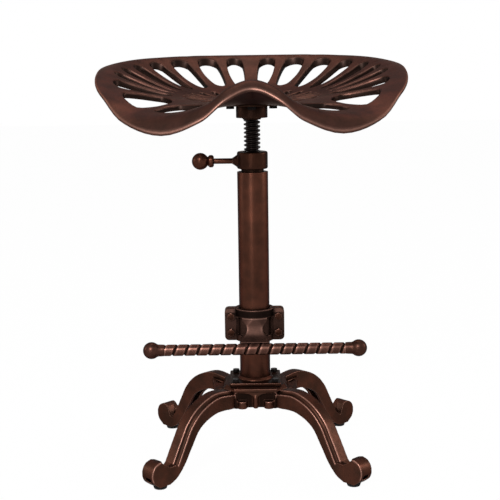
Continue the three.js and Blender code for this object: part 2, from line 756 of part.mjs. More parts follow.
function panGeometry() {
  const faces = [];
  const quad = (a, b, c, d) => faces.push(a, b, c, a, c, d);
  const lower = ([x, y, z, thickness]) => [x, y, z - thickness];
  const skins = (a, b, c, d) => {
    quad(a, b, c, d);
    quad(...[d, c, b, a].map(lower));
  };
  const sector = 360 / sectorCount;
  const step = sector / sectorSteps;
  const turnAt = (index, side) => ((index * sector + side * step) + 360) % 360;

  // A grid of the sector from one share to another
  const patch = (index, from, to, steps) => {
    for (let row = 0; row < steps; row += 1) {
      for (let side = 0; side < sectorSteps; side += 1) {
        const [near, far] = [row, row + 1].map((k) => from + (to - from) * k / steps);
        const [left, right] = [turnAt(index, side), turnAt(index, side + 1)];
        skins(panPoint(left, near), panPoint(left, far), panPoint(right, far), panPoint(right, near));
      }
    }
  };

  // The same sector with a slot: a frame of quads round a rounded hole
  const slotted = (index, from, to, steps, lengthShare) => {
    const edge = [];
    for (let k = 0; k < sectorSteps; k += 1) edge.push([k / sectorSteps * 2 - 1, -1]);
    for (let k = 0; k < steps; k += 1) edge.push([1, k / steps * 2 - 1]);
    for (let k = 0; k < sectorSteps; k += 1) edge.push([1 - k / sectorSteps * 2, 1]);
    for (let k = 0; k < steps; k += 1) edge.push([-1, 1 - k / steps * 2]);
    const onPan = ([u, v]) => {
      const turn = (index * sector + sector * (1 + u) / 2 + 360) % 360;
      return panPoint(turn, from + (to - from) * (1 + v) / 2);
    };
    const hole = ([u, v]) => {
      const roundU = u * Math.sqrt(1 - v * v / 2);
      const roundV = v * Math.sqrt(1 - u * u / 2);
      const [holeU, holeV] = [[u, roundU], [v, roundV]].map(([square, round]) => (
        square + (round - square) * slotRoundShare
      ));
      const along = holeV * lengthShare;
      const [left, right] = [onPan([-1, along]), onPan([1, along])];
      const width = Math.hypot(right[0] - left[0], right[1] - left[1]);
      return [holeU * (1 - ribWidth / width), along];
    };
    edge.forEach((point, i) => {
      const next = edge[(i + 1) % edge.length];
      const [a, b] = [onPan(next), onPan(point)];
      const [c, d] = [onPan(hole(point)), onPan(hole(next))];
      skins(a, b, c, d);
      quad(c, lower(c), lower(d), d);
    });
  };

  for (let index = 0; index < sectorCount; index += 1) {
    const fromRear = index < sectorCount / 2 ? index : sectorCount - 1 - index;
    const sides = [...Array(sectorSteps).keys()];
    const turns = sides.map((side) => [turnAt(index, side), turnAt(index, side + 1)]);
    for (const [left, right] of turns) {
      const centre = panPoint(0, 0);
      faces.push(centre, panPoint(left, discShare), panPoint(right, discShare));
      faces.push(...[panPoint(right, discShare), panPoint(left, discShare), centre].map(lower));
    }
    if (fromRear < slottedSectors) {
      slotted(index, discShare, ringShare, innerSlotSteps, innerSlotShare);
      slotted(index, ringShare, bandShare, outerSlotSteps, outerSlotShare);
    } else {
      patch(index, discShare, ringShare, innerSlotSteps);
      patch(index, ringShare, bandShare, outerSlotSteps);
    }
    patch(index, bandShare, rimEdgeShare, bandSteps);
    for (const [left, right] of turns) {
      const rim = [left, right].map((turn) => {
        const [x, y, z, thickness] = panPoint(turn, 1);
        return [[x, y, z - rimEdgeDrop], [x, y, z - thickness + rimEdgeDrop]];
      });
      const top = [left, right].map((turn) => panPoint(turn, rimEdgeShare));
      const under = top.map(lower);
      quad(top[0], rim[0][0], rim[1][0], top[1]);
      quad(rim[0][0], rim[0][1], rim[1][1], rim[1][0]);
      quad(rim[0][1], under[0], under[1], rim[1][1]);
    }
  }
  const geometry = new THREE.BufferGeometry();
  const corners = faces.flatMap(([x, y, z]) => [x, y, z]);
  geometry.setAttribute('position', new THREE.Float32BufferAttribute(corners, 3));
  return geometry;
}

// Footrest

function roundedPlate(low, high, radius, depth) {
  const shape = new THREE.Shape();
  const [x0, z0] = low;
  const [x1, z1] = high;
  shape.moveTo(x0, z0);
  shape.lineTo(x1 - radius, z0);
  shape.absarc(x1 - radius, z0 + radius, radius, -Math.PI / 2, 0);
  shape.absarc(x1 - radius, z1 - radius, radius, 0, Math.PI / 2);
  shape.lineTo(x0, z1);
  const settings = { depth, bevelEnabled: false, curveSegments: earRoundSteps };
  return solid(new THREE.ExtrudeGeometry(shape, settings).rotateX(Math.PI / 2));
}

function clampHalf(front) {
  const ring = solid(disc(clampOuter, clampBottom, clampTop));
  const bore = solid(disc(clampInner, clampBottom - overrun, clampTop + overrun));
  const reach = clampOuter + overrun;
  const half = solid(block([-reach, -reach, clampBottom - overrun], [reach, -earGap, clampTop + overrun]));
  const ear = roundedPlate([clampInner, clampBottom], [earReach, clampTop], earRound, earThickness)
    .translate([0, -earGap, 0]);
  let body = joined(ring.intersect(half), ear, ear.mirror([1, 0, 0]));
  if (front) {
    const pocketTop = clampTop - bandHeight;
    const skin = clampOuter - pocketDepth;
    const pocket = sleeve(clampOuter + overrun, skin, clampBottom + pocketFloor, pocketTop);
    const slab = block([-skin, -reach, clampBottom], [skin, -earThickness - earGap, clampTop]);
    body = cut(body, solid(pocket).intersect(solid(slab))).add(footrestNeck());
  }
  body = body.subtract(bore);
  const holes = clampBoltSpots().map(([x, z]) => {
    const hole = alongY(disc(boltRadius + boltGap, 0, earThickness + 2 * overrun, boltSides));
    return solid(hole.translate(x, -earGap - earThickness - overrun, z));
  });
  body = cut(body, ...holes);
  return front ? body : body.rotate([0, 0, 180]);
}

function clampBoltSpots() {
  const middle = (clampTop + clampBottom) / 2;
  const [low, high] = [middle - earBoltSpacing / 2, middle + earBoltSpacing / 2];
  return [[-earBoltOffset, high], [earBoltOffset, high], [-earBoltOffset, low], [earBoltOffset, low]];
}

// The waisted web that carries the bar: a front outline crossed with a side outline
function footrestNeck() {
  const top = clampTop - bandHeight;
  const foot = barHeight;
  const waist = (top + foot) / 2;
  const side = smooth([[neckTopHalf, top], [neckWaistHalf, waist], [neckFootHalf, foot]], neckSteps);
  const outline = [...side, ...side.map(([x, z]) => [-x, z]).reverse()];
  const front = prism(outline, barStandoff + barRadius).rotateX(Math.PI / 2);
  const sweep = [
    [clampOuter + seatGap, top], [clampOuter + pocketDepth, waist + barRadius],
    [barStandoff, foot + barRadius],
  ];
  const profile = [
    ...smooth(sweep, neckSteps), [barStandoff + barRadius / 2, foot], [barStandoff, foot - barRadius / 2],
    [clampInner, foot], [clampInner, top],
  ];
  const web = prism(profile, 2 * neckFootHalf).rotateX(Math.PI / 2).rotateZ(-Math.PI / 2);
  const crossed = solid(front).intersect(solid(web.translate(neckFootHalf, 0, 0)));
  const saddleHalf = neckFootHalf + overrun;
  const saddle = alongX(disc(barRadius + seatGap, -saddleHalf, saddleHalf, roundSides));
  return crossed.subtract(solid(saddle.translate(0, -barStandoff, barHeight)));
}

function footrest() {
  place('footrest_clamp_front', 'bronze', clampHalf(true));
  place('footrest_clamp_rear', 'bronze', clampHalf(false));
  clampBoltSpots().forEach(([x, z], i) => {
    const grip = 2 * (earThickness + earGap + seatGap) + boltHeadHeight;
    const bolt = hexBolt(boltRadius, boltHeadRadius, boltHeadHeight, grip).rotate([90, 0, 0]);
    place(`clamp_bolt_${i + 1}`, 'bronze', bolt.translate([x, -earGap - earThickness - seatGap, z]));
    const nut = hexNut(boltHeadRadius, boltRadius + seatGap, boltHeadHeight).rotate([-90, 0, 0]);
    place(`clamp_nut_${i + 1}`, 'blackSteel', nut.translate([x, earGap + earThickness + seatGap, z]));
  });
  const grooveRadius = barRadius - barGroove;
  const [rise, fall] = barCrownShares;
  const profile = [[0, grooveRadius], [rise, barRadius], [fall, barRadius]];
  const shoulder = barHalf - barSocket - seatGap;
  const grooved = helicalRod(profile, barPitch, -shoulder, shoulder, barSides);
  const spigots = solid(disc(barSpigotRadius, -barHalf, barHalf, smallSides));
  const bar = grooved.add(spigots).rotate([0, 90, 0]);
  place('footrest_bar', 'bronze', bar.translate([0, -barStandoff, barHeight]));
  for (const [name, way] of [['left', -1], ['right', 1]]) {
    const knob = ballKnob({
      centre: barKnobCentre, radius: barKnobRadius, neck: barKnobNeck, neckStart: barHalf - barSocket,
      bore: barSpigotRadius + seatGap, boreEnd: barHalf + seatGap,
    });
    knob.rotateY(way * Math.PI / 2);
    place(`footrest_knob_${name}`, 'bronze', solid(knob.translate(0, -barStandoff, barHeight)));
  }
}

place('base_hub', 'bronze', hubShell());
legs();
column();
screwAndBush();
lockCollar();
seatMount();
footrest();

export default stool;
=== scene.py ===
import json
from math import asin, copysign, cos, degrees, exp, pi, radians, sin, sqrt, tan, tau

import bpy
import bmesh
from mathutils import Matrix, Vector, kdtree


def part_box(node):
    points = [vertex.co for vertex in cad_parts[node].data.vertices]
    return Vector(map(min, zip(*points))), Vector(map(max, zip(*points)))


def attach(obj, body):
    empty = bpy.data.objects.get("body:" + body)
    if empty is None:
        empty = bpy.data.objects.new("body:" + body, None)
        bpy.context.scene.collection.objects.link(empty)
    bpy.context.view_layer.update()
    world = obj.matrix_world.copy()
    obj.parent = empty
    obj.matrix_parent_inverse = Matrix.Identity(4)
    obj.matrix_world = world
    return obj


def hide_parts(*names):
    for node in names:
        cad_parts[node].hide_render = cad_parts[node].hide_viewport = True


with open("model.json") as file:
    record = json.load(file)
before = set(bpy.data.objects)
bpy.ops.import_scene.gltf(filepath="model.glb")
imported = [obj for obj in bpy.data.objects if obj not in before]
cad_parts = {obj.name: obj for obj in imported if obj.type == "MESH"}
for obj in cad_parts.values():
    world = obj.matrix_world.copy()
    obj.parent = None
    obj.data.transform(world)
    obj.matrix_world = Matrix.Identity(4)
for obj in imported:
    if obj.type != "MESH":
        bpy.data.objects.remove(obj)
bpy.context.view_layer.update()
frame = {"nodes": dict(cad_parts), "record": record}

mm = 0.001
restGap = 0.3  # gap between two pieces that rest on each other, in mm


# Shader maths as Python

def linear(hexColour):
    parts = [int(hexColour[i:i + 2], 16) / 255 for i in (1, 3, 5)]
    return [c / 12.92 if c <= 0.04045 else ((c + 0.055) / 1.055) ** 2.4 for c in parts] + [1]


class Wire:
    def __init__(self, finish, socket):
        self.finish = finish
        self.socket = socket

    def maths(self, operation, first, second, clamp=False):
        return self.finish.add("ShaderNodeMath", {"operation": operation, "use_clamp": clamp}, {0: first, 1: second})

    def __add__(self, other): return self.maths("ADD", self, other)
    def __radd__(self, other): return self.maths("ADD", other, self)
    def __sub__(self, other): return self.maths("SUBTRACT", self, other)
    def __rsub__(self, other): return self.maths("SUBTRACT", other, self)
    def __mul__(self, other): return self.maths("MULTIPLY", self, other)
    def __rmul__(self, other): return self.maths("MULTIPLY", other, self)

    def clamped(self):
        return self.maths("ADD", self, 0, clamp=True)


class Finish:
    def __init__(self, owner):
        self.owner = owner
        owner.use_nodes = True
        self.tree = owner.node_tree
        self.tree.nodes.clear()

    def add(self, kind, settings=None, inputs=None, output=0):
        node = self.tree.nodes.new(kind)
        for key, setting in (settings or {}).items():
            if key == "stops":
                for element, (place, colour) in zip(node.color_ramp.elements, setting):
                    element.position = place
                    element.color = colour
            else:
                setattr(node, key, setting)
        for key, value in (inputs or {}).items():
            if isinstance(value, Wire):
                self.tree.links.new(value.socket, node.inputs[key])
            else:
                node.inputs[key].default_value = linear(value) if isinstance(value, str) else value
        return Wire(self, node.outputs[output]) if len(node.outputs) else None

    def noise(self, place, scale, detail=4, roughness=0.6):
        inputs = {"Vector": place, "Scale": scale, "Detail": detail, "Roughness": roughness}
        return self.add("ShaderNodeTexNoise", {}, inputs)

    def ramp(self, value, low, high):
        settings = {"stops": [(low, (0, 0, 0, 1)), (high, (1, 1, 1, 1))]}
        return self.add("ShaderNodeValToRGB", settings, {"Fac": value})

    def mix(self, factor, first, second):
        return self.add("ShaderNodeMix", {"data_type": "RGBA"}, {0: factor, 6: first, 7: second}, output=2)

    def bump(self, height, strength):
        return self.add("ShaderNodeBump", {}, {"Strength": strength, "Distance": 0.3 * mm, "Height": height})

    def surface(self, inputs):
        shader = self.add("ShaderNodeBsdfPrincipled", {}, inputs)
        self.add("ShaderNodeOutputMaterial", {}, {"Surface": shader})
        return self.owner


bronzeLooks = {
    "shadeColour": "#090605", "dark": "#1e130e", "body": "#3a241c", "warm": "#4b291f", "worn": "#b08172",
    "edgeTint": "#877870", "metallic": 0.85, "specular": 0.25, "roughness": 0.4,
    "mottle": 45, "blotchScale": 0.3, "speckleScale": 7, "blotches": 0.6, "grain": 900, "grainDepth": 0.1,
    "edgeWidth": 1.2 * mm, "edgeGain": 9, "outward": 30, "ridgeFrom": 0.525, "ridgeGain": 0, "wear": 0.8,
    "shadeReach": 10 * mm, "shadeFrom": 0.74, "shadeGain": 1.9, "shadeAmount": 0.85, "markClears": 1.3,
}


def bronzeFinish(name, **changes):
    looks = {**bronzeLooks, **changes}
    f = Finish(bpy.data.materials.new(name))
    place = f.add("ShaderNodeTexCoord", output=3)
    blotch = f.noise(place, looks["mottle"] * looks["blotchScale"], detail=3)
    mottle = f.noise(place, looks["mottle"])
    speckle = f.noise(place, looks["mottle"] * looks["speckleScale"], detail=2)
    grain = f.noise(place, looks["grain"], detail=2)
    # worn copper and painted highlights along edges: sharp ones by the rounded normal, cast ones by how far they
    # stand out
    normal = f.add("ShaderNodeNewGeometry", output=1)
    standing = f.add("ShaderNodeNewGeometry", output=7)
    rounded = f.add("ShaderNodeBevel", {"samples": 6}, {"Radius": looks["edgeWidth"]})
    turn = f.add("ShaderNodeVectorMath", {"operation": "DOT_PRODUCT"}, {0: normal, 1: rounded}, output=1)
    sharp = ((1 - turn) * looks["edgeGain"]).clamped() * ((standing - 0.5) * looks["outward"]).clamped()
    ridge = ((standing - looks["ridgeFrom"]) * looks["ridgeGain"]).clamped()
    # the attribute read here holds painted highlights and worn copper above 0, painted shade below 0
    marked = f.add("ShaderNodeAttribute", {"attribute_name": "worn"}, output=2)
    spotted, patchy, broken = 0.3 + speckle * 1.1, 0.35 + blotch * 1.2, 0.6 + speckle * 0.7
    rubbedAndLit = ((sharp + ridge) * spotted * patchy + marked * broken).clamped()
    # painted shade: darker where ambient occlusion finds a recess or a gap between parts, deeper under marks below 0
    # and cleared by marks above 0
    shelter = f.add("ShaderNodeAmbientOcclusion", {"samples": 5}, {"Distance": looks["shadeReach"]}, output=1)
    paintedShade = ((looks["shadeFrom"] - shelter) * looks["shadeGain"]).clamped()
    paintedShade = (paintedShade - marked * looks["markClears"]).clamped()
    colour = f.mix(f.ramp(mottle, 0.36, 0.68), looks["body"], looks["warm"])
    colour = f.mix(f.ramp(blotch, 0.4, 0.75) * looks["blotches"], colour, looks["dark"])
    colour = f.mix(paintedShade * looks["shadeAmount"], colour, looks["shadeColour"])
    colour = f.mix(rubbedAndLit * looks["wear"], colour, looks["worn"])
    return f.surface({
        "Base Color": colour, "Metallic": looks["metallic"], "Specular IOR Level": looks["specular"],
        "Specular Tint": looks["edgeTint"], "Normal": f.bump(grain + speckle, looks["grainDepth"]),
        "Roughness": looks["roughness"] + (speckle - 0.5) * 0.2 + (blotch - 0.5) * 0.15 - rubbedAndLit * 0.06,
    })


steelLooks = {
    "colour": "#0f0b0a", "light": "#1c1513", "metallic": 0.6, "specular": 0.15, "roughness": 0.6,
    "grain": 700, "patchScale": 0.08, "grainDepth": 0.15,
}


def plainFinish(name, **changes):
    looks = {**steelLooks, **changes}
    f = Finish(bpy.data.materials.new(name))
    place = f.add("ShaderNodeTexCoord", output=3)
    grain = f.noise(place, looks["grain"], detail=3)
    patches = f.noise(place, looks["grain"] * looks["patchScale"])
    return f.surface({
        "Base Color": f.mix(f.ramp(patches, 0.4, 0.7), looks["colour"], looks["light"]),
        "Metallic": looks["metallic"], "Specular IOR Level": looks["specular"],
        "Normal": f.bump(grain, looks["grainDepth"]),
        "Roughness": looks["roughness"] + (patches - 0.5) * 0.2,
    })


castBronze = bronzeFinish("castBronze", body="#3a261e", warm="#4b2c22", ridgeGain=10, edgeGain=2)
seatBronze = bronzeFinish(
    "seatBronze", body="#33231e", warm="#412a24", dark="#221714", edgeTint="#a39286", edgeGain=2, wear=0.65,
    roughness=0.44, blotches=0.35,
)
turnedBronze = bronzeFinish(
    "turnedBronze", body="#41271e", warm="#4e2d22", roughness=0.34, mottle=60, wear=0.5, grainDepth=0.05,
)
barBronze = bronzeFinish(
    "barBronze", body="#3b251f", warm="#482e26", roughness=0.36, mottle=90, grainDepth=0.06,
)
collarBronze = bronzeFinish("collarBronze", body="#2e1b14", warm="#392118", roughness=0.36, mottle=60, wear=0.5)
clampBronze = bronzeFinish(
    "clampBronze", body="#33231e", warm="#3e2a24", worn="#8f6c60", roughness=0.48, ridgeGain=5, edgeGain=2,
)
darkBronze = bronzeFinish("darkBronze", body="#261812", warm="#2d1c15", dark="#140d0a", worn="#7c5646", wear=0.5)
# painted shade: the pan's slot walls get a near-black finish because they stand in shadow
slotShade = bronzeFinish("slotWallShade", body="#1f1613", warm="#291c18", dark="#110d0b", wear=0)
blackSteel = plainFinish("blackSteel")
screwSteel = plainFinish("oiledScrew", colour="#120d0b", light="#221815", metallic=0.7, roughness=0.33)
rubber = plainFinish("padRubber", colour="#0b0a0a", light="#151312", metallic=0, roughness=0.75)
print("finishes made")


# Meshes in millimetres, joined to the frame's bodies

def dress(obj, finish, body, *nodes):
    obj.data.materials.append(finish)
    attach(obj, body)
    if nodes:
        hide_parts(*nodes)
    return obj


def linked(name, data):
    obj = bpy.data.objects.new(name, data)
    bpy.context.scene.collection.objects.link(obj)
    return obj


# an open mesh or a closed one, with its corners sharp where they turn by more than smoothAngle
def meshObject(name, points, faces, smoothAngle=38, worn=None, slots=None):
    data = bpy.data.meshes.new(name)
    data.from_pydata([Vector(p) * mm for p in points], [], faces)
    if worn:
        data.attributes.new("worn", "FLOAT", "POINT").data.foreach_set("value", worn)
    if slots:
        data.polygons.foreach_set("material_index", slots)
    obj = linked(name, data)
    work = bmesh.new()
    work.from_mesh(data)
    bmesh.ops.remove_doubles(work, verts=work.verts, dist=0.004 * mm)
    bmesh.ops.triangulate(work, faces=[face for face in work.faces if len(face.verts) > 4])
    bmesh.ops.recalc_face_normals(work, faces=work.faces)
    for face in work.faces:
        face.smooth = True
    for edge in work.edges:
        edge.smooth = edge.calc_face_angle(0) < radians(smoothAngle)
    work.to_mesh(data)
    work.free()
    return obj


def moved(obj, matrix):
    obj.data.transform(matrix)
    if matrix.determinant() < 0:
        obj.data.flip_normals()
    return obj


def shift(x, y, z):
    return Matrix.Translation(Vector((x, y, z)) * mm)


def spin(turn, axis):
    return Matrix.Rotation(radians(turn), 4, axis)


upright = spin(90, "X")  # stands a flat drawing up: its y becomes z


def copied(name, obj, matrix):
    return moved(linked(name, obj.data.copy()), matrix)


# rounds a profile's corners, apart from slight ones
def fillet(points, radius, closed=False, steps=3, slight=12):
    out = []
    count = len(points)
    for i, point in enumerate(points):
        here = Vector(point)
        if not closed and i in (0, count - 1):
            out.append(tuple(here))
            continue
        back = Vector(points[i - 1]) - here
        ahead = Vector(points[(i + 1) % count]) - here
        turn = pi - back.angle(ahead)
        if turn < radians(slight):
            out.append(tuple(here))
            continue
        reach = min(radius * tan(turn / 2), 0.45 * back.length, 0.45 * ahead.length)
        first, last = here + back.normalized() * reach, here + ahead.normalized() * reach
        for k in range(steps + 1):
            t = k / steps
            out.append(tuple(first * (1 - t) ** 2 + here * 2 * t * (1 - t) + last * t * t))
    return out


def ring(radius, sides=48):
    return [(radius * cos(tau * k / sides), radius * sin(tau * k / sides)) for k in range(sides)]


def level(outline, z):
    return [(x, y, z) for x, y in outline]


# joins loops of equal counts, one above the other; closed ones meet again, open ones get caps
def stacked(name, loops, closed=False, smoothAngle=38, worn=None):
    sides = len(loops[0])
    points = [point for loop in loops for point in loop]
    last = len(loops) if closed else len(loops) - 1
    faces = []
    for i in range(last):
        a, b = i * sides, (i + 1) % len(loops) * sides
        faces += [(a + k, a + (k + 1) % sides, b + (k + 1) % sides, b + k) for k in range(sides)]
    if not closed:
        faces += [tuple(range(sides)), tuple(range(len(points) - sides, len(points)))]
    return meshObject(name, points, faces, smoothAngle, worn)


def turned(name, profile, radius=0.5, sides=72, closed=False, smoothAngle=38):
    line = fillet(profile, radius, closed)
    return stacked(name, [level(ring(max(r, 1e-4), sides), z) for r, z in line], closed, smoothAngle)


# a tube's profile, or a rod's when inner is 0
def sleeve(inner, outer, low, high):
    return [(inner, low), (outer, low), (outer, high), (inner, high)]


def prism(outline, low, high):
    return stacked("prism", [level(outline, z) for z in (low, high)])


def square(half):
    return [(-half, -half), (half, -half), (half, half), (-half, half)]


def slab(low, high):
    (x0, y0, z0), (x1, y1, z1) = low, high
    return prism([(x0, y0), (x1, y0), (x1, y1), (x0, y1)], z0, z1)


def drum(radius, low, high, sides=48):
    return prism(ring(radius, sides), low, high)


# the line that the castings' outlines follow through their chosen points
def smoothLine(points, steps):
    spots = [Vector(p) for p in points]
    padded = [2 * spots[0] - spots[1], *spots, 2 * spots[-1] - spots[-2]]
    spans = len(spots) - 1
    line = []
    for k in range(steps + 1):
        i = min(int(spans * k / steps), spans - 1)
        t = spans * k / steps - i
        p0, p1, p2, p3 = padded[i:i + 4]
        d0, d1, d2 = [(b - a).length ** 0.5 for a, b in ((p0, p1), (p1, p2), (p2, p3))]
        start = ((p1 - p0) / d0 - (p2 - p0) / (d0 + d1) + (p2 - p1) / d1) * d1
        end = ((p2 - p1) / d1 - (p3 - p1) / (d1 + d2) + (p3 - p2) / d2) * d1
        rise = p2 - p1
        line.append(tuple(p1 + start * t + (3 * rise - 2 * start - end) * t ** 2 + (start + end - 2 * rise) * t ** 3))
    return line


def along(line, i):
    return (Vector(line[min(i + 1, len(line) - 1)]) - Vector(line[max(i - 1, 0)])).normalized()


def sweptRod(line, radius, height, sides=20):
    loops = []
    for i, (x, y) in enumerate(line):
        way = along(line, i)
        loops.append([(x - way.y * a, y + way.x * a, height + b) for a, b in ring(radius, sides)])
    return stacked("rod", loops)


def offsetLine(line, distance):
    ways = [along(line, i) for i in range(len(line))]
    return [(x + way.y * distance, y - way.x * distance) for (x, y), way in zip(line, ways)]


def bake(obj):
    graph = bpy.context.evaluated_depsgraph_get()
    data = bpy.data.meshes.new_from_object(obj.evaluated_get(graph))
    obj.modifiers.clear()
    obj.data = data


def combine(operation, first, *others):
    for other in others:
        step = first.modifiers.new("step", "BOOLEAN")
        step.operation = operation
        step.solver = "EXACT"
        step.object = other
        bake(first)
        bpy.data.objects.remove(other)
    return first


def joined(first, *others): return combine("UNION", first, *others)
def cut(first, *others): return combine("DIFFERENCE", first, *others)
def crossed(first, *others): return combine("INTERSECT", first, *others)


# gives a sharp solid the soft corners of a sand casting
def castSkin(name, obj, settings):
    obj.name = name
    skin = obj.modifiers.new("skin", "REMESH")
    skin.mode = "VOXEL"
    skin.voxel_size = settings["grain"] * mm
    soften = obj.modifiers.new("soften", "SMOOTH")
    soften.factor = 0.5
    soften.iterations = settings["rounds"]
    bake(obj)
    obj.data.name = name
    obj.data.polygons.foreach_set("use_smooth", [True] * len(obj.data.polygons))
    return obj


# paints copper highlights (above 0) or shade (below 0) along lines of points: each mark is (points, width, amount)
def paint(obj, marks):
    amounts = [0.0] * len(obj.data.vertices)
    for points, width, amount in marks:
        tree = kdtree.KDTree(len(points))
        for i, point in enumerate(points):
            tree.insert(Vector(point) * mm, i)
        tree.balance()
        for vertex in obj.data.vertices:
            away = tree.find(vertex.co)[2] / (width * mm)
            if away < 3:
                amounts[vertex.index] += amount * exp(-away * away)
    obj.data.attributes.new("worn", "FLOAT", "POINT").data.foreach_set("value", amounts)
    return obj


def spiralRod(name, radiusAt, low, high, rowStep, sides, wearAndLightAt=None):
    rows = max(2, round((high - low) / rowStep))
    angles = [tau * side / sides for side in range(sides)]
    loops, worn = [], []
    for row in range(rows + 1):
        z = low + (high - low) * row / rows
        loops.append([(radiusAt(a, z) * cos(a), radiusAt(a, z) * sin(a), z) for a in angles])
        worn += [wearAndLightAt(a, z) for a in angles] if wearAndLightAt else []
    return stacked(name, loops, smoothAngle=50, worn=worn)


# how far the CAD node reaches along an axis, in mm
def extent(node, axis="z"):
    return [getattr(corner, axis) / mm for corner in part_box(node)]


def blendStep(value, low, high):
    t = min(1, max(0, (value - low) / (high - low)))
    return t * t * (3 - 2 * t)


# Pan seat

pan = {
    "halfWidth": 222, "rearDepth": 188.5, "frontDepth": 190.5, "rearSquareness": 1.95, "frontSquareness": 2.75,
    "thickness": 7.8, "slopeExtra": 4, "rimThickness": 4.6, "flat": 42, "rearRise": 58, "bowlPower": 1.85,
    "notch": 0.095, "notchSpread": 9.3, "ring": 0.48, "band": 0.876, "edge": 0.985, "innerSlot": (0.256, 0.446),
    "slotRound": 0.62, "ribWidth": 11, "ribRound": 2.6, "endRound": 1, "ribRoundUnder": 0.35, "ribWearAndHighlight": 0.16,
    "rimRows": 12, "rimSide": 0.5, "rimCorner": 0.6, "rimHighlight": 0.5, "rimHighlightAt": 45, "rimHighlightSpread": 26,
    "ribsAt": [1.7, 14, 28.8, 43.4, 56.5, 68, 79.3, 91.5, 109, 132.5, 156], "solidAt": [164, 172, 180],
    "slotOut": [(0, 0.882), (30, 0.872), (60, 0.87), (85, 0.893), (97, 0.888), (120, 0.858), (145, 0.8),
                (180, 0.8)],
    "slotIn": [(0, 0.552), (22, 0.546), (36, 0.522), (52, 0.51), (106, 0.51), (121, 0.56), (145, 0.575),
               (180, 0.575)],
    "bandRise": [(0, 0.96), (30, 0.98), (60, 0.87), (90, 0.59), (121, 0.09), (134, -0.24), (150, -0.26),
                 (163, -0.02), (171, 0.33), (180, 0.48)],
    "rimRise": [(0, 1), (30, 0.89), (60, 0.88), (90, 0.67), (121, 0.15), (134, -0.36), (150, -0.66),
                (163, -0.36), (169.4, 0), (174, 0.19), (177, 0.272), (180, 0.3)],
}
pan["disc"] = pan["flat"] / min(pan["halfWidth"], pan["rearDepth"], pan["frontDepth"])
panFloor = extent("seat_mount_plate")[1] + restGap + pan["thickness"]


# reads a list of (degrees from the back, value) with a smooth curve through it
def shareAt(table, turn):
    i = max(1, next((k for k, (at, share) in enumerate(table) if at >= turn), len(table) - 1))

    def slope(k):
        if k <= 0 or k >= len(table) - 1:
            return 0
        return (table[k + 1][1] - table[k - 1][1]) / (table[k + 1][0] - table[k - 1][0])

    (x0, y0), (x1, y1) = table[i - 1], table[i]
    width, rise = x1 - x0, y1 - y0
    t = (turn - x0) / width
    start, end = slope(i - 1) * width, slope(i) * width
    return y0 + start * t + (3 * rise - 2 * start - end) * t ** 2 + (start + end - 2 * rise) * t ** 3


# a place on the pan's top and the casting's thickness there
def panPoint(turn, share):
    turn %= 360
    side = 360 - turn if turn > 180 else turn
    sine, cosine = sin(radians(turn)), cos(radians(turn))
    power = pan["frontSquareness"] + (pan["rearSquareness"] - pan["frontSquareness"]) * (1 + cosine) / 2
    bulge = (abs(sine) ** power + abs(cosine) ** power) ** (-1 / power)
    notch = 1 - pan["notch"] * exp(-((180 - side) / pan["notchSpread"]) ** 2)
    depth = pan["rearDepth"] if cosine > 0 else pan["frontDepth"]
    reach = share * bulge * (1 + (notch - 1) * min(1, share / pan["band"]))
    inner = shareAt(pan["bandRise"], side) * pan["rearRise"]
    rim = shareAt(pan["rimRise"], side) * pan["rearRise"]
    span = pan["band"] - pan["disc"]
    rise = inner * max(0, (share - pan["disc"]) / span) ** pan["bowlPower"]
    steep = max(0, inner) / pan["rearRise"] * blendStep(share, pan["disc"], pan["band"])
    thickness = pan["thickness"] + pan["slopeExtra"] * steep
    if share > pan["band"]:
        t = (share - pan["band"]) / (1 - pan["band"])
        start = inner * pan["bowlPower"] * (1 - pan["band"]) / span
        rise = inner + start * t + (rim - inner - start) * t ** 2
        thickness += (pan["rimThickness"] - thickness) * t
    return Vector((-pan["halfWidth"] * sine * reach, depth * cosine * reach, panFloor + rise, thickness))


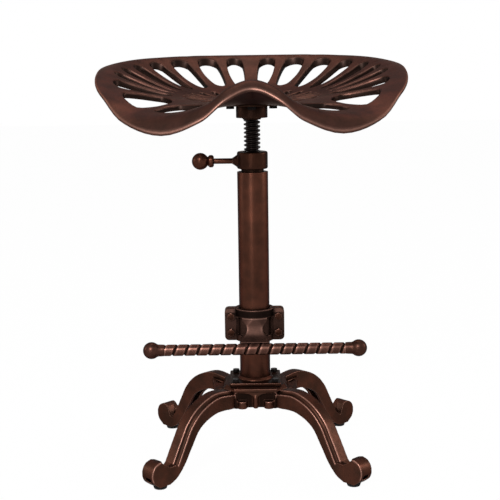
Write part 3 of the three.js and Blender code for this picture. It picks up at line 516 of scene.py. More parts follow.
def makePan():
    across = 8
    points, worn, faces, slots = [], [], [], []

    # each point carries an amount of worn copper and painted highlight
    def corner(x, y, z, wear=0.0):
        points.append((x, y, z))
        worn.append(wear)
        return len(points) - 1

    def face(*corners, slot=0):
        faces.append(corners)
        slots.append(slot)

    def skin(grid, sink=lambda i, j: 0):
        top, under = [], []
        for i, row in enumerate(grid):
            down = [sink(i, j) for j in range(len(row))]
            # worn copper on the ribs' rounded edges, also standing in for their highlights
            wear = [pan["ribWearAndHighlight"] if 0.1 < d < 0.9 else 0.0 for d in down]
            top.append([corner(p.x, p.y, p.z - d, w) for p, d, w in zip(row, down, wear)])
            under.append([corner(p.x, p.y, p.z - p.w + d * pan["ribRoundUnder"]) for p, d in zip(row, down)])
        for i in range(len(grid) - 1):
            for j in range(len(grid[0]) - 1):
                face(top[i][j], top[i + 1][j], top[i + 1][j + 1], top[i][j + 1])
                face(under[i][j + 1], under[i + 1][j + 1], under[i + 1][j], under[i][j])
        return top, under

    # a patch of the pan with one slot through it: its edge is a square walk, its slot the same walk made rounder
    def slotted(start, end, low, high, sideSteps, holeLow, holeHigh):
        middle = (holeLow + holeHigh - low - high) / (high - low)
        halfLength = (holeHigh - holeLow) / (high - low)
        edge = [(k / across * 2 - 1, -1) for k in range(across)]
        edge += [(1, k / sideSteps * 2 - 1) for k in range(sideSteps)]
        edge += [(1 - k / across * 2, 1) for k in range(across)]
        edge += [(-1, 1 - k / sideSteps * 2) for k in range(sideSteps)]

        def onPan(u, v):
            return panPoint(start + (end - start) * (1 + u) / 2, low + (high - low) * (1 + v) / 2)

        def hole(u, v):
            roundU, roundV = u * sqrt(1 - v * v / 2), v * sqrt(1 - u * u / 2)
            holeU = u + (roundU - u) * pan["slotRound"]
            place = middle + (v + (roundV - v) * pan["slotRound"]) * halfLength
            width = (onPan(1, place) - onPan(-1, place)).length
            return holeU * (1 - pan["ribWidth"] / width), place

        grid = []
        for share in (0, 0.3, 0.5, 0.65, 0.78, 0.88, 0.95, 1):
            row = []
            for u, v in edge + edge[:1]:
                holeU, holeV = hole(u, v)
                row.append(onPan(u + (holeU - u) * share, v + (holeV - v) * share))
            grid.append(row)

        def sink(i, j):
            gap = (grid[i][j] - grid[-1][j]).length
            end = blendStep(abs(edge[j % len(edge)][1]), 0.75, 1)
            radius = pan["ribRound"] + (pan["endRound"] - pan["ribRound"]) * end
            radius = min(radius, (grid[0][j] - grid[-1][j]).length)
            short = max(0, 1 - gap / radius)
            return radius * (1 - sqrt(max(0, 1 - short * short)))

        top, under = skin(grid, sink)
        for j in range(len(edge)):
            # the slot walls take the pan's second finish, a near-black painted shade
            face(top[-1][j], under[-1][j], under[-1][j + 1], top[-1][j + 1], slot=1)

    high = pan["band"] + 0.6 * (pan["edge"] - pan["band"])
    half = [0, *pan["ribsAt"], *pan["solidAt"]]
    edges = [*half, *(360 - turn for turn in reversed(half[1:-1])), 360]
    for start, end in zip(edges, edges[1:]):
        turns = [start + (end - start) * k / across for k in range(across + 1)]

        def strip(near, far, count):
            shares = [near + (far - near) * k / count for k in range(count + 1)]
            return skin([[panPoint(turn, share) for turn in turns] for share in shares])

        strip(0, pan["disc"], 3)
        middle = min((start + end) / 2, 360 - (start + end) / 2)
        outerSlot = shareAt(pan["slotIn"], middle), shareAt(pan["slotOut"], middle)
        rings = ((pan["disc"], pan["ring"], 4, pan["innerSlot"]), (pan["ring"], high, 14, outerSlot))
        for near, far, count, ends in rings:
            if pan["ribsAt"][0] < middle < pan["ribsAt"][-1]:
                slotted(start, end, near, far, count, *ends)
            else:
                strip(near, far, count)
        top, under = strip(high, pan["edge"], 4)
        # the rim's face, with a painted highlight line along its upper corner
        rim = [top[-1]]
        for k in range(1, pan["rimRows"]):
            angle = pi * k / pan["rimRows"]
            out = sin(angle) ** pan["rimSide"]
            height = copysign(abs(cos(angle)) ** pan["rimCorner"], cos(angle))
            off = (degrees(angle) - pan["rimHighlightAt"]) / pan["rimHighlightSpread"]
            row = []
            for turn in turns:
                p = panPoint(turn, pan["edge"])
                p += (panPoint(turn, 1) - p) * out
                row.append(corner(p.x, p.y, p.z - p.w * (1 - height) / 2, pan["rimHighlight"] * exp(-off ** 2)))
            rim.append(row)
        rim.append(under[-1])
        for i in range(pan["rimRows"]):
            for j in range(across):
                face(rim[i][j], rim[i + 1][j], rim[i + 1][j + 1], rim[i][j + 1])
    return meshObject("pan_seat", points, faces, 60, worn, slots)


panSeat = dress(makePan(), seatBronze, "seat", "seat_pan")
panSeat.data.materials.append(slotShade)
print("pan seat made")


# Hexagon bolts and nuts, domed seat bolts; each head's seat is at height 0 and its shank hangs below

hexSize = {
    "bolt": 5.6, "seatNut": 6.6, "height": 4.2, "flat": 0.83, "sides": 48, "foot": 0.2, "shank": 3, "tip": 0.5,
    "nutBore": 3.3, "seatNutBore": 4.3, "lead": 0.4,
}
seatBolt = {
    "head": [(0, 0), (3, 0.25), (5.6, 1.05), (7.4, 2.3), (8, 3.2), (8, 3.4), (4, 3.4)], "shank": 4, "tip": 0.5,
}


# a hexagon's outline, lowered where it reaches past a chamfer's circle
def hexLoop(radius, z, circle=None):
    sector = radians(30)
    loop = []
    for k in range(hexSize["sides"]):
        angle = 360 * k / hexSize["sides"]
        r = radius * cos(sector) / cos(radians((angle - 30) % 60 - 30))
        low = max(0, r - circle) * tan(sector) if circle else 0
        loop.append((r * cos(radians(angle)), r * sin(radians(angle)), z - low))
    return loop


def ringLoop(radius, z):
    return level(ring(radius, hexSize["sides"]), z)


def hexBolt(name, length, place):
    size, top, foot, shank, tip = (hexSize[key] for key in ("bolt", "height", "foot", "shank", "tip"))
    flat = size * hexSize["flat"]
    loops = [
        ringLoop(0.01, top), ringLoop(flat - 0.3, top), ringLoop(flat, top - 0.1), hexLoop(size, top, flat),
        hexLoop(size, foot), hexLoop(size - foot, 0), ringLoop(shank, 0), ringLoop(shank, tip - length),
        ringLoop(shank - tip, -length),
    ]
    return moved(stacked(name, loops), place)


def hexNut(name, size, bore, place):
    top, foot, lead, flat = hexSize["height"], hexSize["foot"], hexSize["lead"], size * hexSize["flat"]
    loops = [
        ringLoop(bore, lead), ringLoop(bore, top - lead), ringLoop(bore + lead, top), ringLoop(flat, top),
        hexLoop(size, top, flat), hexLoop(size, foot), hexLoop(size - foot, 0), ringLoop(bore + lead, 0),
    ]
    return moved(stacked(name, loops, closed=True), place)


corners = {"front_right": -45, "rear_right": 45, "rear_left": 135, "front_left": 225}


# the CAD bolt's centre, and its ends along an axis
def boltPlace(node, axis="z"):
    low, high = extent(node, axis)
    return (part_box(node)[0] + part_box(node)[1]) / 2 / mm, low, high


for k in range(1, 5):
    at, low, high = boltPlace(f"flange_bolt_{k}")
    head = high - hexSize["height"]
    bolt = hexBolt(f"flange_hex_{k}", head - low, shift(at.x, at.y, head))
    dress(bolt, blackSteel, "base", f"flange_bolt_{k}")
    at, low, high = boltPlace(f"clamp_bolt_{k}", "y")
    head = low + hexSize["height"]
    bolt = hexBolt(f"clamp_hex_{k}", high - head, shift(at.x, head, at.z) @ upright)
    dress(bolt, collarBronze, "footrest", f"clamp_bolt_{k}")
    at, low, _ = boltPlace(f"clamp_nut_{k}", "y")
    place = shift(at.x, low, at.z) @ spin(-90, "X")
    nut = hexNut(f"clamp_hex_nut_{k}", hexSize["bolt"], hexSize["nutBore"], place)
    dress(nut, blackSteel, "footrest", f"clamp_nut_{k}")
    at, low, high = boltPlace(f"seat_bolt_{k}")
    shank, tip = seatBolt["shank"], seatBolt["tip"]
    line = [*((r, high - drop) for r, drop in seatBolt["head"]), (shank, low + tip), (shank - tip, low), (0, low)]
    bolt = moved(turned(f"seat_dome_{k}", line, 0.3), shift(at.x, at.y, 0))
    dress(bolt, turnedBronze, "seat", f"seat_bolt_{k}")
    at, low, _ = boltPlace(f"seat_nut_{k}")
    nut = hexNut(f"seat_hex_nut_{k}", hexSize["seatNut"], hexSize["seatNutBore"], shift(at.x, at.y, low))
    dress(nut, blackSteel, "seat", f"seat_nut_{k}")
print("bolts and nuts made")


# Legs, drawn with x along the leg, y up and z through its thickness, show face on top

hub = {
    "top": 116, "depth": 30.8, "half": 47, "wall": 8, "topWall": 7, "shoulder": 4, "topHalf": 43, "topCut": 19,
    "lip": 1.6, "ribRadius": 3.9, "ribTop": 105, "ribSink": 1.5, "pillarRadius": 7.2, "pillarOffset": 19.6,
    "pillarTop": 96.5, "pillarSink": 3, "pocketDepth": 4.6, "footRise": 0.3, "boltSpacing": 57.4, "boltHole": 3.4,
    "rootDrops": (13.5, 24.5), "rootReach": 13, "grain": 0.85, "rounds": 3,
}
leg = {
    "thickness": 23, "reach": 215, "showWall": 9, "cove": 5.6, "channelWidth": 12, "channelSkin": 6.5,
    "toeSlot": (12, 6.5, 8), "toeSlotAt": 0.143, "foot": 5, "flat": (0.79, 0.915),
    "arch": [(0, 0.966), (0.2, 0.985), (0.41, 0.878), (0.545, 0.712), (0.631, 0.517), (0.731, 0.263)],
    "inner": [(0, 0.741), (0.231, 0.745), (0.422, 0.625), (0.53, 0.423), (0.622, 0.228), (0.71, 0.1)],
    "toe": [(0.98, 0.118), (1, 0.213), (0.967, 0.315), (0.9, 0.353)],
    "lip": [(0.845, 0.335), (0.822, 0.262), (0.8, 0.193), (0.773, 0.2), (0.757, 0.226)],
    "closedLip": [(0.85, 0.305), (0.79, 0.258)], "channelEnd": 0.7, "coveEnd": 0.73, "grain": 0.85, "rounds": 3,
    "coveShade": [(0.3, 0.94), (0.6, 0.8), (0.9, 0.45)],
}
hubDiagonal = leg["thickness"] / 2 + restGap
hubCut = hubDiagonal * sqrt(2)
hubReach = (2 * hub["half"] - hubCut) / sqrt(2)
legRoot = hubReach + restGap
legSpan = leg["reach"] - legRoot


# from shares of the leg's span and of the hub's height
def legPoints(*shares):
    return [(legRoot + out * legSpan, up * hub["top"]) for out, up in shares]


def legOutline(closed):
    flat = [(legRoot + share * legSpan, leg["foot"]) for share in leg["flat"]]
    arch = smoothLine(legPoints(*leg["arch"]), 60)
    inner = smoothLine([*legPoints(*leg["inner"]), flat[0]], 60)
    lip = legPoints(*leg["closedLip" if closed else "lip"])
    toe = smoothLine([flat[1], *legPoints(*leg["toe"]), lip[0]], 48)
    tail = lip[1:] if closed else smoothLine(lip, 24)[1:]
    return [*inner, *toe, *tail, *reversed(arch)]


def makeLeg():
    thickness, plain = leg["thickness"], leg["thickness"] - leg["showWall"]
    body = joined(prism(legOutline(False), 0, plain + 0.2), prism(legOutline(True), plain, thickness))
    end = legRoot + leg["channelEnd"] * legSpan
    lines = (smoothLine(legPoints(*leg[side][1:]), 48) for side in ("inner", "arch"))
    mouth, roof = ([p for p in line if p[0] < end] for line in lines)
    skin, half = leg["channelSkin"], leg["channelWidth"] / 2
    channel = [(x - 3, y - 3) for x, y in mouth] + [(x - skin, y - skin) for x, y in reversed(roof)]
    wide, high, deep = leg["toeSlot"]
    (toeX, toeY), stop = legPoints((leg["toe"][0][0], leg["toeSlotAt"]), (leg["coveEnd"], leg["arch"][-1][1]))
    toeSlot = slab((toeX - deep, toeY - high / 2, (thickness - wide) / 2),
                   (toeX + deep, toeY + high / 2, (thickness + wide) / 2))
    path = legPoints(*leg["arch"][:-1])
    edge = smoothLine([(path[0][0] - 3, path[0][1]), *path, stop], 70)
    holes = []
    for drop in hub["rootDrops"]:
        hole = drum(hub["boltHole"], -3, hub["rootReach"], 24)
        holes.append(moved(hole, shift(legRoot, hub["top"] - drop, thickness / 2) @ spin(90, "Y")))
    channel = prism(channel, thickness / 2 - half, thickness / 2 + half)
    body = cut(body, channel, toeSlot, sweptRod(edge, leg["cove"], thickness), *holes)
    body = castSkin("leg", body, leg)
    # painted copper highlights along the cove's two edges and round the foot's face, painted shade down the cove
    cove, fine = leg["cove"], smoothLine(edge, 420)
    toe = smoothLine([(legRoot + leg["flat"][1] * legSpan, leg["foot"]), *legPoints(*leg["toe"])], 200)
    paintedShade = []
    for depth, share in leg["coveShade"]:
        paintedShade += level(offsetLine(fine, cove * share), thickness - cove * depth)
    paint(body, [
        (level(fine, thickness - cove), 1.1, 0.9), (level(offsetLine(fine, cove), thickness), 1.2, 0.95),
        (paintedShade, 1.6, -0.45), (level(toe[60:], thickness), 1.1, 0.7),
    ])
    return moved(body, upright @ shift(0, 0, -thickness / 2))


pad = {"radius": 10.5, "taper": 1.6, "round": 0.8}
legModel = makeLeg()
padAt, padTop = legRoot + legSpan * sum(leg["flat"]) / 2, leg["foot"] - restGap
padLine = [(0, 0), (pad["radius"] - pad["taper"], 0), (pad["radius"], padTop), (0, padTop)]
for name, angle in corners.items():
    way = spin(angle, "Z")
    flip = Matrix.Scale(-1, 4, (0, 1, 0)) if name in ("rear_right", "front_left") else Matrix.Identity(4)
    dress(copied(f"cast_leg_{name}", legModel, way @ flip), castBronze, "base", f"leg_{name}")
    foot = moved(turned(f"rubber_pad_{name}", padLine, pad["round"]), way @ shift(padAt, 0, 0))
    dress(foot, rubber, "base", f"foot_pad_{name}")
    for k, drop in enumerate(hub["rootDrops"]):
        place = way @ shift(hubReach - hub["wall"] - restGap, 0, hub["top"] - drop) @ spin(-90, "Y")
        bolt = hexBolt(f"leg_hex_{name}_{k + 1}", hub["wall"] + hub["rootReach"] - 0.4, place)
        dress(bolt, blackSteel, "base", f"leg_bolt_{name}_{k + 1}")
bpy.data.objects.remove(legModel)
print("legs made")


# Hub with its ribbed aprons and side webs

web = {
    "reach": 62, "flare": 4, "drop": 7.5, "thickness": 8, "scoop": 6, "hole": 3, "holeAt": 53.5, "slotWidth": 4,
    "slotMargin": 3.5, "slotLength": 12,
}
hubLow = hub["top"] - hub["depth"]


def octagon(half, corner):
    inner = half - corner
    right = [(half, -inner), (half, inner), (inner, half)]
    return [*right, (-inner, half), (-half, inner), (-half, -inner), (-inner, -half), (inner, -half)]


def hubWeb():
    root, end, top = hub["half"] - hub["wall"] / 2, web["reach"] + web["flare"], hub["top"] - web["drop"]
    edge = smoothLine([(end, hubCut - end), (web["reach"], 0), (end, end - hubCut)], 32)
    plan = prism([(root, hubCut - root), *edge, (root, root - hubCut)], hubLow, hub["top"])
    sag = smoothLine([(hubCut - end, top), (0, top - web["scoop"]), (end - hubCut, top)], 32)
    side = prism([*((y, z - web["thickness"]) for y, z in sag), *reversed(sag)], 0, end)
    body = crossed(plan, moved(side, spin(90, "Z") @ upright))
    near = hubDiagonal + web["slotMargin"]
    slots = []
    for way in (1, -1):
        slot = slab((legRoot, near, hubLow), (legRoot + web["slotLength"], near + web["slotWidth"], hub["top"]))
        slots.append(moved(moved(slot, spin(-45, "Z")), Matrix.Scale(way, 4, (0, 1, 0))))
    return cut(body, moved(drum(web["hole"], hubLow, hub["top"]), shift(web["holeAt"], 0, 0)), *slots)


# the outline of the hollow over a pillar, from the middle rib outwards
def pocketLine():
    inside, outside, ledge = hub["ribRadius"] - 1, hub["pillarOffset"] + hub["pillarRadius"], hub["pillarTop"]
    return [
        (inside, ledge), (inside, ledge + 7), (inside + 7, ledge + 11), (outside, ledge + 12.5),
        (outside + 3.6, ledge + 11), (outside + 1.6, ledge + 5), (outside, ledge),
    ]


def makeHub():
    top, half, wall = hub["top"], hub["half"], hub["wall"]
    pillar, offset, sink, ledge = (hub[key] for key in ("pillarRadius", "pillarOffset", "pillarSink", "pillarTop"))
    inside, outside = offset - pillar, offset + pillar
    foot, flat, radius = hubLow + 2 * hub["footRise"], half - hubCut, hub["ribRadius"]
    ribLine = [(0, foot), (radius, foot), (radius, hub["ribTop"] - 3), (radius * 0.6, hub["ribTop"]),
               (0, hub["ribTop"] + 1)]
    loops = [(half, hubCut, hubLow), (half, hubCut, top - hub["shoulder"]), (hub["topHalf"], hub["topCut"], top)]
    body = stacked("hub", [level(octagon(size, corner), z) for size, corner, z in loops])
    adds = []
    cuts = [prism(octagon(half - wall, hubCut - wall * (2 - sqrt(2))), hubLow - 5, top - hub["topWall"])]
    for turn in (0, 180):
        face = spin(turn, "Z") @ shift(0, -half, 0)
        lip = slab((-flat - 1, -hub["lip"], top - hub["shoulder"] - 1), (flat + 1, 6, top - 0.6))
        body = joined(body, moved(lip, face))
        for way in (-1, 1):
            pocket = prism([(way * x, z) for x, z in pocketLine()], -hub["pocketDepth"], 4)
            body = cut(body, moved(pocket, face @ upright))
            adds.append(moved(drum(pillar, hubLow + hub["footRise"], ledge), face @ shift(way * offset, sink, 0)))
        recess = slab((-outside, -9, hubLow - 1), (outside, hub["pocketDepth"], ledge + 1))
        notch = slab((-inside, -9, hubLow - 1), (inside, wall + 2, foot))
        body = cut(body, moved(recess, face), moved(notch, face))
        rib = moved(turned("rib", ribLine, 2), face @ shift(0, hub["ribSink"], 0))
        adds += [rib, moved(hubWeb(), spin(turn, "Z"))]
    for x, y in square(hub["boltSpacing"] / 2):
        cuts.append(moved(drum(hub["boltHole"], top - 12, top + 3), shift(x, y, 0)))
    for angle in corners.values():
        for drop in hub["rootDrops"]:
            hole = moved(drum(hub["boltHole"], 0, wall + 6), spin(90, "Y"))
            cuts.append(moved(hole, spin(angle, "Z") @ shift(hubReach - wall - 3, 0, top - drop)))
    body = castSkin("cast_hub", cut(joined(body, *adds), *cuts), hub)
    # painted copper highlights on the ledges and round the hollows, painted shade in the hollows and beside the
    # pillars
    lit, dark = [], []
    face, back = hub["half"], hub["half"] - hub["pocketDepth"]
    heights = [hubLow + k for k in range(round(ledge - hubLow) + 8)]
    rounded = [(pillar * x, pillar * y) for x, y in ring(1) if y >= 0]
    for side in (-1, 1):
        for way in (-1, 1):
            lit += [(way * offset + x, side * (face - sink + y), ledge) for x, y in rounded]
            lit += [(way * x, side * face, z) for x, z in smoothLine(pocketLine()[3:], 40)]
            dark += [(way * (outside + 2.5), side * (face + 0.5), z) for z in heights[:-4]]
            dark += [(way * (radius + inside) / 2, side * back, z) for z in heights]
            dark += [(way * (inside + 4 * k), side * back, ledge + 2 + 3 * row) for k in range(4) for row in range(3)]
    return paint(body, [(dark, 3.4, -1), (lit, 1, 0.75)])


dress(makeHub(), castBronze, "base", "base_hub")
print("hub made")


# Column: flange with its bead, tube and nut

column = {
    "flange": 76, "flangeThick": 4.7, "flangeRound": 3, "flangeEdge": 0.9, "bead": 4, "beadRound": 1.2,
    "radius": 22.5, "wall": 3, "neck": 16.5, "bore": 12.5,
}
flangeLow = extent("column_flange")[0]
flangeTop = flangeLow + column["flangeThick"]
tubeLow, tubeTop = extent("column_tube")
nutLow, neckTop = extent("column_nut")


def roundedSquare(half, radius):
    out, middle = [], half - radius
    for k, (sx, sy) in enumerate(((1, 1), (-1, 1), (-1, -1), (1, -1))):
        for step in range(7):
            angle = radians(90 * k + 90 * step / 6)
            out.append((sx * middle + radius * cos(angle), sy * middle + radius * sin(angle)))
    return out


half, soft, corner = column["flange"] / 2, column["flangeEdge"], column["flangeRound"]
insets = [(soft, flangeLow), (0.3 * soft, flangeLow + 0.3 * soft), (0, flangeLow + soft), (0, flangeTop - soft),
          (0.3 * soft, flangeTop - 0.3 * soft), (soft, flangeTop)]
loops = [level(roundedSquare(half - inset, corner), z) for inset, z in insets]
dress(stacked("flange_plate", loops), collarBronze, "base", "column_flange")
inner, size, low = column["radius"] + restGap, column["bead"], flangeTop - 0.3
beadLine = [(inner, low), (inner + size, low), (inner + size - 0.4, flangeTop + 1.2), (inner + 1, flangeTop + size),
            (inner, flangeTop + size)]
dress(turned("flange_bead", beadLine, column["beadRound"], closed=True), turnedBronze, "base")
outer, inner = column["radius"], column["radius"] - column["wall"]
tube = turned("column_sleeve", sleeve(inner, outer, tubeLow, tubeTop), 0.7, 96, True)
dress(tube, turnedBronze, "base", "column_tube")
neck, bore, fit = column["neck"], column["bore"], inner - restGap
nutLine = [(bore, nutLow), (fit, nutLow), (fit, tubeTop), (neck, tubeTop), (neck, neckTop), (bore, neckTop)]
dress(turned("threaded_nut", nutLine, 0.4, closed=True), darkBronze, "base", "column_nut")
print("column made")


# Lead screw, its boss and the mounting plate

screw = {
    "radius": 12, "root": 9, "pitch": 6, "flanks": (0.06, 0.26, 0.62, 0.82), "spigot": 7, "spigotSink": 2,
    "clipGroove": (2.7, 4.7), "clipRoot": 6,
}
boss = {"bore": 7.3, "radius": 22.8, "foot": [(12.6, 0), (14.4, 2.4), (15.2, 2.7)], "round": 0.9, "plate": 39.5}


def threadRadius(angle, z):
    share = (z / screw["pitch"] - angle / tau) % 1
    a, b, c, d = screw["flanks"]
    rise = blendStep(share, a, b) if share < (b + c) / 2 else 1 - blendStep(share, c, d)
    return screw["root"] + (screw["radius"] - screw["root"]) * rise


screwLow, bushTop = extent("seat_screw")[0], extent("screw_guide_bush")[1]
bossLow, bossTop = extent("seat_boss")
threaded = spiralRod("lead_screw", threadRadius, bushTop + 0.3, bossLow - 0.4, 0.5, 40)
dress(threaded, screwSteel, "seat")
spigot, root = screw["spigot"], screw["clipRoot"]
tang = turned("screw_tang", sleeve(0, spigot, bossLow - screw["spigotSink"], bossTop - restGap), 0.3)
dress(tang, screwSteel, "seat")
grooveLow, grooveHigh = (screwLow + rise for rise in screw["clipGroove"])
endLine = [(0, screwLow), (spigot, screwLow), (spigot, grooveLow), (root, grooveLow), (root, grooveHigh),
           (spigot, grooveHigh), (spigot, bushTop + 1), (0, bushTop + 1)]
dress(turned("screw_end", endLine, 0.2), screwSteel, "seat", "seat_screw")
foot = [(r, bossLow + rise) for r, rise in boss["foot"]]
bossLine = [(boss["bore"], bossLow), *foot, (boss["radius"], foot[-1][1]), (boss["radius"], bossTop),
            (boss["bore"], bossTop)]
dress(turned("seat_socket", bossLine, boss["round"], closed=True), darkBronze, "seat", "seat_boss")
disc = turned("mount_disc", sleeve(0, boss["plate"], *extent("seat_mount_plate")), 0.6)
dress(disc, darkBronze, "seat", "seat_mount_plate")
print("screw and mount made")


# Lock collar, lever rod and turned ball

lock = {
    "radius": 22.4, "height": 25.2, "round": 2.6, "bore": 12.4, "lever": 4, "leverAt": 11.5, "boss": 9.2,
    "bossRows": (15, 18, 20.5, 22, 23.5, 25, 26.5, 28, 29), "bossWaist": 20.5, "bossReach": 30, "knobAt": 75.7,
    "knob": 12.3, "neck": 9.0, "neckReach": 19.7, "grip": 8, "grain": 0.7, "rounds": 5,
}
collarLow = extent("lock_collar")[0]
toLever = shift(0, 0, collarLow + lock["leverAt"]) @ spin(-90, "Y")


# a ball with its neck, turned about z, with a blind bore for the rod
def ballKnob(name, at, radius, neckLine, bore, boreEnd):
    start = asin(neckLine[-1][0] / radius)
    turns = [start + (pi - start) * k / 24 for k in range(1, 25)]
    ball = [(radius * sin(a), at - radius * cos(a)) for a in turns]
    line = [(0.01, boreEnd), (bore, boreEnd), *fillet([(bore, neckLine[0][1]), *neckLine], 1.3, steps=5), *ball]
    return turned(name, line, 0.01, 64, smoothAngle=48)


collarLine = sleeve(lock["bore"], lock["radius"], collarLow, collarLow + lock["height"])
collar = turned("collar", collarLine, lock["round"], 96, True)
lever, reach, gripLow = lock["lever"], lock["bossReach"], lock["bossReach"] - lock["grip"]
rows, wide = lock["bossRows"], lock["boss"]
flare = [(wide - (wide - lever - 0.6) * blendStep(out, lock["bossWaist"], reach), out) for out in rows]
lug = moved(turned("lug", [(0, rows[0]), *flare, (lever + 0.5, reach), (0, reach)], 0.2), toLever)
socket = moved(drum(lever + restGap, gripLow, reach + 3), toLever)
collar = castSkin("lock_ring", cut(joined(collar, lug), socket), lock)
dress(collar, collarBronze, "lock", "lock_collar")
neckLow, neck = lock["knobAt"] - lock["neckReach"], lock["neck"]
rodEnd = neckLow + lock["grip"]
rod = turned("lever_rod", sleeve(0, lever, gripLow + restGap, rodEnd), 0.5)
dress(moved(rod, toLever), turnedBronze, "lock", "lock_lever_rod")
ringNeck = [(neck * 0.74, neckLow), (neck, neckLow + 1.9), (neck, neckLow + 6.2), (neck * 0.7, neckLow + 9.1)]
knob = ballKnob("lever_ball", lock["knobAt"], lock["knob"], ringNeck, lever + restGap, rodEnd + restGap)
dress(moved(knob, toLever), turnedBronze, "lock", "lock_lever_knob")
print("lock made")


# Footrest clamp

clamp = {
    "height": 48, "wall": 6.3, "earReach": 44, "ear": 9, "gap": 1.5, "earRound": 6, "boltOffset": 35,
    "boltSpacing": 24, "earSlope": (3.5, 7), "band": 12.4, "pocket": 3.6, "pocketFloor": 9, "neckTop": 21,
    "neckWaist": 11.4, "neckFoot": 21, "footRise": 9, "saddleHalf": 24, "standoff": 50, "barDrop": 52,
    "bandRows": (4, 6.5, 9), "grain": 0.8, "rounds": 3,
}
bar = {
    "radius": 8.3, "groove": 1.8, "pitch": 17.3, "grooveHalf": 0.15, "half": 138, "knobAt": 150, "knob": 12.3,
    "neck": 8.7, "socket": 7, "spigot": 5, "wear": 0.06,
    # painted shade down the groove and painted highlights beside it, each as (amount, place, width)
    "grooveShadeAndHighlights": [(-1.05, 0, 0.55), (0.35, 1.3, 0.5), (0.15, -1.2, 0.4)],
}
clampTop = extent("footrest_clamp_rear")[1]
clampLow = clampTop - clamp["height"]
clampInner = column["radius"] + restGap
clampOuter = clampInner + clamp["wall"]
barHeight = clampTop - clamp["barDrop"]
barPlace = shift(0, -clamp["standoff"], barHeight)


def makeClamp(front):
    reach, skin, gap, thick = clampOuter + 3, clampOuter - clamp["pocket"], clamp["gap"], clamp["ear"]
    half = slab((-reach, -reach, clampLow - 3), (reach, -gap, clampTop + 3))
    body = crossed(drum(clampOuter, clampLow, clampTop, 96), half)
    inside, outside, r = clampInner, clamp["earReach"], clamp["earRound"]
    turns = [radians(90 * k / 8) for k in range(9)]
    low = [(outside - r + r * sin(a), clampLow + r - r * cos(a)) for a in turns]
    high = [(outside - r + r * cos(a), clampTop - r + r * sin(a)) for a in turns]
    back, down = clamp["earSlope"]
    face = -gap - thick
    for way in (-1, 1):
        outline = [(way * x, z) for x, z in ((inside, clampLow), *low, *high, (inside, clampTop))]
        ear = moved(prism(outline, gap, gap + thick), upright)
        slope = [(face - 1, clampTop - down - 1), (face + back, clampTop + 1), (face - 1, clampTop + 1)]
        body = joined(body, cut(ear, moved(prism(slope, -60, 60), spin(90, "Z") @ upright)))
    if front:
        pocket = drum(reach, clampLow + clamp["pocketFloor"], clampTop - clamp["band"], 96)
        pocket = cut(pocket, drum(skin, clampLow, clampTop, 96))
        pocket = crossed(pocket, slab((-skin, -reach - 1, clampLow), (skin, -thick - gap, clampTop)))
        body = joined(cut(body, pocket), makeNeck())
    body = cut(body, drum(clampInner, clampLow - 3, clampTop + 3, 96))
    for x in (-clamp["boltOffset"], clamp["boltOffset"]):
        for z in (-clamp["boltSpacing"] / 2, clamp["boltSpacing"] / 2):
            hole = moved(drum(hub["boltHole"], 0, 20), upright)
            body = cut(body, moved(hole, shift(x, 0, clampTop - clamp["height"] / 2 + z)))
    body = castSkin("clamp_half_front" if front else "clamp_half_rear", body, clamp)

    # painted shade round the band, painted copper highlights along its edges and the neck's sides
    def arc(drops):
        turns = [radians(200 + 140 * k / 120) for k in range(121)]
        around = [(clampOuter * cos(a), clampOuter * sin(a)) for a in turns]
        return [point for drop in drops for point in level(around, clampTop - drop)]

    marks = [(arc(clamp["bandRows"]), 3.2, -0.95), (arc((0, clamp["band"])), 1.1, 0.9)]
    if front:
        side, _ = neckLines()
        marks.append(([(way * x, -clampOuter - 2.5, z) for x, z in side for way in (-1, 1)], 2, 0.4))
    paint(body, marks)
    return body if front else moved(body, spin(180, "Z"))


# the neck's outline from the front, and the heights of its top, waist and foot
def neckLines():
    top, foot = clampTop - clamp["band"], barHeight + clamp["footRise"]
    waist = (top + foot) / 2 + 1
    side = smoothLine([(clamp["neckTop"], top), (clamp["neckWaist"], waist), (clamp["neckFoot"], foot)], 48)
    return [*side, (clamp["neckFoot"], barHeight)], (top, waist, foot)


def makeNeck():
    side, (top, waist, foot) = neckLines()
    away, radius, wide = clamp["standoff"], bar["radius"], clamp["neckFoot"] + 1
    outline = [*side, *((-x, z) for x, z in reversed(side))]
    front = moved(prism(outline, 0, away + radius), upright)
    sweep = [(clampOuter, top), (clampOuter + 2, waist + 3), (clampOuter + 7.5, foot + 8), (away - 3, foot)]
    profile = [*smoothLine(sweep, 32), (away + radius / 2, barHeight), (away, barHeight - radius / 2),
               (clampInner, barHeight), (clampInner, top)]
    web = moved(prism(profile, -wide, wide), spin(-90, "Z") @ upright)
    # the neck follows the ring where it leaves it
    low, skin = barHeight - radius, clampOuter + 0.3
    wrap = [(0, low), (70, low), (70, foot + 1), (clampOuter + 14, foot + 5), (clampOuter + 5, waist),
            (skin, top - 2), (skin, top), (0, top)]
    web = crossed(web, turned("wrap", wrap, 8, 96))
    saddle = drum(radius + restGap, -clamp["saddleHalf"], clamp["saddleHalf"], 64)
    return cut(crossed(front, web), moved(saddle, barPlace @ spin(90, "Y")))


dress(makeClamp(True), clampBronze, "footrest", "footrest_clamp_front")
dress(makeClamp(False), clampBronze, "footrest", "footrest_clamp_rear")
print("clamp made")


# Footrest bar with its spiral groove and turned ends

# how far a point is across the left-hand groove, from -1 to 1 within it
def grooveShare(angle, z):
    share = (z / bar["pitch"] + angle / tau + 0.5) % 1 - 0.5
    return share / bar["grooveHalf"]


def barRadius(angle, z):
    return bar["radius"] - bar["groove"] * (1 - blendStep(abs(grooveShare(angle, z)), 0, 1))


# a slight even wear, with painted shade down the groove and painted highlights along its two sides
def barWearShadeAndHighlights(angle, z):
    share = grooveShare(angle, z)
    grooveShadeAndHighlights = (amount * exp(-((share - at) / width) ** 2) for amount, at, width in bar["grooveShadeAndHighlights"])
    return bar["wear"] + sum(grooveShadeAndHighlights)


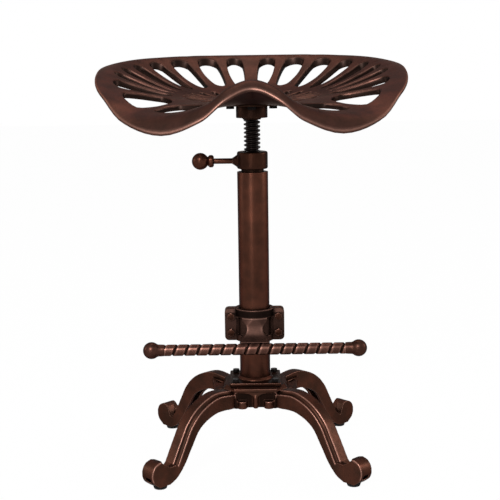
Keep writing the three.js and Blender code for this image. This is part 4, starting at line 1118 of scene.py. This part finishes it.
toBar = barPlace @ spin(90, "Y")
shoulder = bar["half"] - bar["socket"] - restGap
grooved = spiralRod("grooved_bar", barRadius, -shoulder, shoulder, 0.5, 48, barWearShadeAndHighlights)
dress(moved(grooved, toBar), barBronze, "footrest", "footrest_bar")
spigots = turned("bar_spigots", sleeve(0, bar["spigot"], -bar["half"], bar["half"]))
dress(moved(spigots, toBar), barBronze, "footrest")
start, radius = bar["half"] - bar["socket"], bar["radius"]
barNeck = [(radius * 0.96, start), (radius, start + 0.5), (radius + 0.3, start + 4), (bar["neck"], start + 9)]
bore, boreEnd = bar["spigot"] + restGap, bar["half"] + restGap
for name, turn in (("left", 180), ("right", 0)):
    ball = ballKnob(f"bar_ball_{name}", bar["knobAt"], bar["knob"], barNeck, bore, boreEnd)
    dress(moved(ball, barPlace @ spin(turn, "Z") @ spin(90, "Y")), barBronze, "footrest", f"footrest_knob_{name}")
print("footrest made")


# Every CAD node that still shows gets its finish

finishOf = {
    "bronze": castBronze, "bronze_steel": turnedBronze, "dark_bronze": darkBronze, "black_steel": blackSteel,
    "rubber": rubber,
}
for part in frame["record"]["subparts"]:
    data = frame["nodes"][part["node"]].data
    data.materials.clear()
    data.materials.append(finishOf[part["material_slot"]])


# Floor, light and camera

studio = {"skyForObject": 0.25, "floorShade": 0.8, "floorWhite": 0.985, "floorReach": 9000, "aim": 0.3}


def rayIsSeen(f):
    rays = [f.add("ShaderNodeLightPath", output=f"Is {ray} Ray") for ray in ("Camera", "Glossy", "Transmission")]
    return (rays[0] + rays[1] + rays[2]).clamped()


def floorFinish():
    f = Finish(bpy.data.materials.new("paleFloor"))
    shade = studio["floorShade"]
    diffuse = f.add("ShaderNodeBsdfDiffuse", {}, {"Color": (shade, shade, shade, 1)})
    white = f.add("ShaderNodeEmission", {}, {"Color": "#ffffff", "Strength": 1.0})
    mixed = f.add("ShaderNodeMixShader", {}, {0: rayIsSeen(f) * studio["floorWhite"], 1: diffuse, 2: white})
    f.add("ShaderNodeOutputMaterial", {}, {"Surface": mixed})
    return f.owner


floor = meshObject("floor", level(square(studio["floorReach"]), 0), [(0, 1, 2, 3)])
floor.data.materials.append(floorFinish())

bpy.context.scene.world = bpy.data.worlds.new("studio")
sky = Finish(bpy.context.scene.world)
lit, seen = (
    sky.add("ShaderNodeBackground", {}, {"Color": "#ffffff", "Strength": strength})
    for strength in (studio["skyForObject"], 1.0)
)
mixed = sky.add("ShaderNodeMixShader", {}, {0: rayIsSeen(sky), 1: lit, 2: seen})
sky.add("ShaderNodeOutputWorld", {}, {"Surface": mixed})

lamps = {
    "keyLamp": {"at": (-0.6, -2.1, 1.75), "size": (0.6, 0.6), "power": 68},
    "stripLamp": {"at": (-0.6, -2.3, 0.35), "size": (0.16, 1.3), "power": 9},
    "rightLamp": {"at": (2.5, 0.1, 1.1), "size": (0.9, 0.9), "power": 22},
    "leftLamp": {"at": (-2.5, 0.2, 0.9), "size": (0.9, 0.9), "power": 10},
    "topLamp": {"at": (0.1, 0.9, 2.7), "size": (1.4, 1.4), "power": 24},
}
for name, settings in lamps.items():
    data = bpy.data.lights.new(name, "AREA")
    data.shape = "RECTANGLE"
    data.size, data.size_y = settings["size"]
    data.energy = settings["power"]
    lamp = linked(name, data)
    lamp.location = settings["at"]
    lamp.rotation_euler = (Vector((0, 0, studio["aim"])) - lamp.location).to_track_quat("-Z", "Y").to_euler()

view = {"at": (-0.0053, -1.684, 0.593), "lens": 83.5, "pitch": 9.43, "roll": -0.8}
camera = linked("camera", bpy.data.cameras.new("camera"))
camera.data.lens = view["lens"]
camera.data.sensor_width = 36
camera.matrix_world = Matrix.Translation(view["at"]) @ spin(90 - view["pitch"], "X") @ spin(view["roll"], "Z")
bpy.context.scene.camera = camera
bpy.context.scene.view_settings.view_transform = "Standard"
